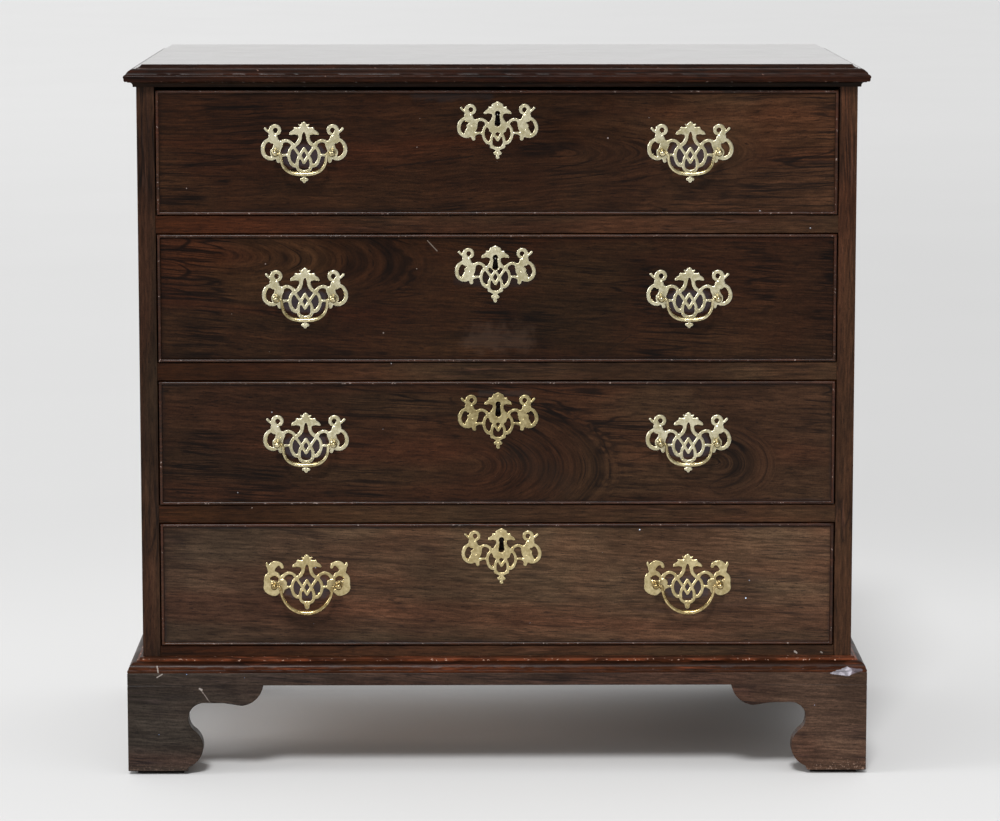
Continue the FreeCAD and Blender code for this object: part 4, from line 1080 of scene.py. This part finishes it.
rodLook = {"thin": 1.85, "around": 20, "stations": 110}
bailLook = {
    "upper": {"span": 55.8, "drop": 25.4, "power": 0.72, "boring": 70, "grip": 2.75},
    "low": {"span": 64, "drop": 33.3, "power": 0.96, "boring": 80, "grip": 2.8},
}


def bailBlock(kind):
    # The grip follows x = span/2 cos^p, z = -drop sin^p and swells to its middle; each end rounds a small
    # elbow outwards into its post as a pin. A round section is carried along, square to the line.
    look = bailLook[kind]
    half, drop, power = look["span"] / 2, look["drop"], look["power"]
    t = np.linspace(0.05, math.pi - 0.05, rodLook["stations"])
    x = -np.sign(np.cos(t)) * np.abs(np.cos(t)) ** power * half
    z = -np.abs(np.sin(t)) ** power * drop
    swell = np.clip(1 - np.abs(x) / (look["span"] * 0.46), 0, 1) ** 0.7
    r = rodLook["thin"] + (look["grip"] - rodLook["thin"]) * swell
    pin = look["boring"] / 2 + 1.2
    shoulder = half + 2.9
    endX = -np.array([pin, pin - 1.5, shoulder + 0.6, shoulder, shoulder - 0.3, half + 1.4, half + 0.35])
    endZ = np.array([0, 0, 0, 0, 0, -0.1, -0.5])
    endR = np.array([1.2, 1.3, 1.3, 1.35, 2.15, 2.35, 2.1])
    keep = z < -2.2
    pathX = np.concatenate([endX, x[keep], -endX[::-1]])
    pathZ = np.concatenate([endZ, z[keep], endZ[::-1]])
    radius = np.concatenate([endR, r[keep], endR[::-1]])[:, None]
    tangent = np.stack([np.gradient(pathX), np.gradient(pathZ)], -1)
    tangent /= np.linalg.norm(tangent, axis=1)[:, None]
    a = np.arange(rodLook["around"]) * 2 * math.pi / rodLook["around"]
    across, deep = radius * np.cos(a), radius * np.sin(a)
    vertices = flatPoints(
        pathX[:, None] - tangent[:, 1:] * across, deep, pathZ[:, None] + tangent[:, :1] * across)
    return vertices * mm, tubeFaces(len(pathX), rodLook["around"])


def domeBlock(radius, rise):
    # a small round head
    t = np.linspace(0, math.pi / 2 * 0.94, 6)
    line = np.stack([radius * np.cos(t), -rise * np.sin(t)], -1)
    return turned(np.concatenate([[[radius, 0.3]], line]), 14)


brassCrisp = {"plate": 28, "post": 40, "bail": 60}  # degrees
postBase = postBlock()
bails = {kind: bailBlock(kind) for kind in bailLook}
nailHead, pinHead = domeBlock(1.25, 0.8), domeBlock(1.7, 1.5)
keyPlateLook = {
    "scale": plateKinds["web"]["wide"] / plateLook["drawn"],
    "top": 37.8,            # mm from the drawn middle up to the top of the crest
    "nailFace": -1.5,       # mm behind the drawer front
    "pinFace": 5.2,
    "pinAt": 20.9,          # mm over the drawn middle
    "nails": {
        # on each drawer's keyhole plate, (x, z) in mm about its drawn middle
        1: [(-33.8, 6.1), (36.2, 0.2), (0, 33.4), (0, -29.4)],
        2: [(-33.6, 4), (33.6, 3.4), (0, 33.4), (0, -29.4)],
        3: [(-33.6, 3), (33.6, 2), (0, 33.4), (0, -29.4)],
        4: [(-33.6, 2), (33.6, 1), (0, 33.4), (0, -29.4)],
    },
}


def onKeyPlate(block, number, x=0, y=0, z=0):
    # the block at (x, z), in mm about the drawn middle of a keyhole plate, and y mm behind the drawer front
    low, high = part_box(f"escutcheon_{number}")
    scale = keyPlateLook["scale"] * mm
    middle, rise = (low.x + high.x) / 2, z - keyPlateLook["top"]
    return placed(block, middle + x * scale, caseFront + y * mm, high.z + rise * scale)


def brassesFor(number):
    lowest = number == drawerNumbers[-1]
    kind = "low" if lowest else "upper"
    body = f"drawer_{number}"
    brass, held = (lowBrass, rubbedLow) if lowest else (handleBrass, rubbedBrass)
    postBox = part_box(f"handle_posts_{number}")
    postZ = (postBox[0].z + postBox[1].z) / 2
    plate = plates["crescent" if lowest else "curled"]
    sides = {"left": -handleAt, "right": handleAt}
    pair = joined([placed(plate, x * mm, caseFront, postZ) for x in sides.values()])
    made = meshObject(f"pierced_plates_{number}", *pair, brassCrisp["plate"])
    numbered(made, "rub_and_highlight", np.tile(plate[2], 2))
    dress(made, brass, body, "brass", f"handle_plates_{number}")
    spots = [x + end * bailLook[kind]["boring"] / 2 for x in sides.values() for end in (-1, 1)]
    posts = joined([placed(postBase, x * mm, caseFront, postZ) for x in spots])
    made = closedObject(f"turned_posts_{number}", *posts, brassCrisp["post"])
    dress(made, held, body, "brass", f"handle_posts_{number}")
    for side, x in sides.items():
        swing = placed(bails[kind], x * mm, caseFront - postLook["pivot"] * mm, postZ)
        made = closedObject(f"swing_bail_{number}_{side}", *swing, brassCrisp["bail"])
        dress(made, held, f"bail_{number}_{side}", "brass", f"bail_{number}_{side}")
    keyPlate = plates["open" if number == 2 else "web"]
    spots = keyPlateLook["nails"][number]
    nails = [onKeyPlate(nailHead, number, x, keyPlateLook["nailFace"], z) for x, z in spots]
    cover = joined([onKeyPlate(keyPlate, number)] + nails)
    made = meshObject(f"keyhole_plate_{number}", *cover, brassCrisp["plate"])
    edges = keyPlate[2]
    numbered(made, "rub_and_highlight", np.concatenate([edges, np.ones(len(made.data.vertices) - len(edges))]))
    dress(made, dullBrass if number == 3 else brass, body, "brass", f"escutcheon_{number}")


for number in drawerNumbers:
    brassesFor(number)
for number in (1, 2):
    # the polished end of the pin that the key's barrel turns on
    pinEnd = onKeyPlate(pinHead, number, y=keyPlateLook["pinFace"], z=keyPlateLook["pinAt"])
    made = closedObject(f"pin_end_{number}", *pinEnd, brassCrisp["post"])
    dress(made, brightSteel, f"drawer_{number}", "iron")
print("brasses set")


# floor, light and camera

stageLook = {
    "floorHalf": 60,
    # the floor's tones paint light: paler near the chest and on the left, darker behind it and on the right
    "near": 0.635,          # the floor by the chest, then behind it, then far behind, from left to right
    "behindTones": (0.54, 0.49),
    "farTones": (0.57, 0.523),
    # painted light and shade under the chest: paler on the left, darker on the right
    "underPaintedLight": (0.62, -0.2),   # how much paler the floor is under the chest, on the left and on the right
    "skyTones": (0.34, 0.82),    # the sky's light at the horizon and overhead
    "behind": 1.25,         # and what is added low in the sky, behind the chest and at its sides
    "left": 1.12,
    "right": -0.26,
    "mirror": (0.36, 0.74),      # what gloss sees in front of the chest, and behind it
    "backdrop": 0.86,       # the tone that the eye sees past the floor's far edge
    "lamps": {              # name: (degrees to the left of straight ahead, height, strength, spread)
        "key": (8, 50, 2.2, 13),
        "side": (78, 24, 0.75, 24),
    },
}


def makeFloor():
    # the tone goes from near to far with y, and from left to right with x: painted light, paler near the
    # chest and on the left, darker behind it and on the right
    look, size = stageLook, stageLook["floorHalf"]
    corners = [(-size, -size, 0), (size, -size, 0), (size, size, 0), (-size, size, 0)]
    floor = meshObject("paper_floor", corners, [(0, 1, 2, 3)], 40)
    place = startMaterial("pale_paper", Roughness=0.95, Specular_IOR_Level=0)
    x, y, z = parts(place)
    sideways = x / (abs(y) + 4.8)
    behind = between(sideways, -0.1, 0.1, *look["behindTones"])
    far = between(sideways, -0.12, 0.12, *look["farTones"])
    near = between(abs(x), 0.8, 0.1, look["near"], look["near"] * 1.06)
    tone = mixed(between(y, -0.1, 1.8), near, behind)
    tone = mixed(between(y, 4, 12), tone, far)
    tone = tone * between(noise(place, 1.3, 2), 0.2, 0.8, 0.985, 1)
    # painted light and shade on the floor under the chest
    under = between(abs(x), 0.47, 0.36) * between(y, 0.3, 0.14) * between(y, -0.16, -0.02)
    tone = tone * (under * between(x, -0.1, 0.38, *look["underPaintedLight"]) + 1)
    floor.data.materials.append(surface(field("CombineColor", {0: tone, 1: tone, 2: tone})))


def makeSky():
    # grey paper to the eye; its light is stronger overhead, behind the chest and on the left
    look = stageLook
    world = bpy.data.worlds.new("studio")
    bpy.context.scene.world = world
    world.use_nodes = True
    drawing["tree"] = world.node_tree
    ground = world.node_tree.nodes["Background"]
    eye, glass, gloss = (
        field("LightPath", output=f"Is {ray} Ray") for ray in ("Camera", "Transmission", "Glossy"))
    x, y, z = parts(field("TexCoord", output="Generated"))
    added = between(y, 0.2, 0.95, 0, look["behind"]) + between(x, -0.35, -0.95, 0, look["left"])
    added = added + between(x, 0.35, 0.95, 0, look["right"])
    lit = between(z, -0.05, 0.9, *look["skyTones"]) + added * between(z, 0.55, 0.1)
    strength = mixed(gloss, lit, between(y, -0.3, 0.6, *look["mirror"]))
    strength = mixed(maths("MAXIMUM", eye, glass), strength, look["backdrop"])
    plug(ground.inputs["Strength"], strength)
    ground.inputs["Color"].default_value = (1, 1, 1, 1)


def makeLamps():
    for name, (turn, rise, strength, spread) in stageLook["lamps"].items():
        lamp = bpy.data.lights.new(name, "SUN")
        lamp.energy = strength
        lamp.angle = math.radians(spread)
        added(name, lamp).rotation_euler = (math.pi / 2 - math.radians(rise), 0, -math.radians(turn))


cameraLook = {
    "place": (-0.036, -4.837, 1.137),
    "down": 7.5,
    "turn": -0.49,
    "focalPixels": 3755,
    "frameWide": 1000,
    "film": 36,
    "shift": -0.06,
    "farthest": 200,
}


def makeCamera():
    look = cameraLook
    lens = bpy.data.cameras.new("view")
    lens.sensor_width = look["film"]
    lens.lens = look["focalPixels"] / look["frameWide"] * look["film"]
    lens.shift_y = look["shift"]
    lens.clip_end = look["farthest"]
    camera = added("view", lens)
    camera.location = look["place"]
    camera.rotation_euler = (math.radians(90 - look["down"]), 0, math.radians(look["turn"]))
    bpy.context.scene.camera = camera


makeFloor()
makeSky()
makeLamps()
makeCamera()
bpy.context.scene.view_settings.view_transform = "Standard"
print("stage set")
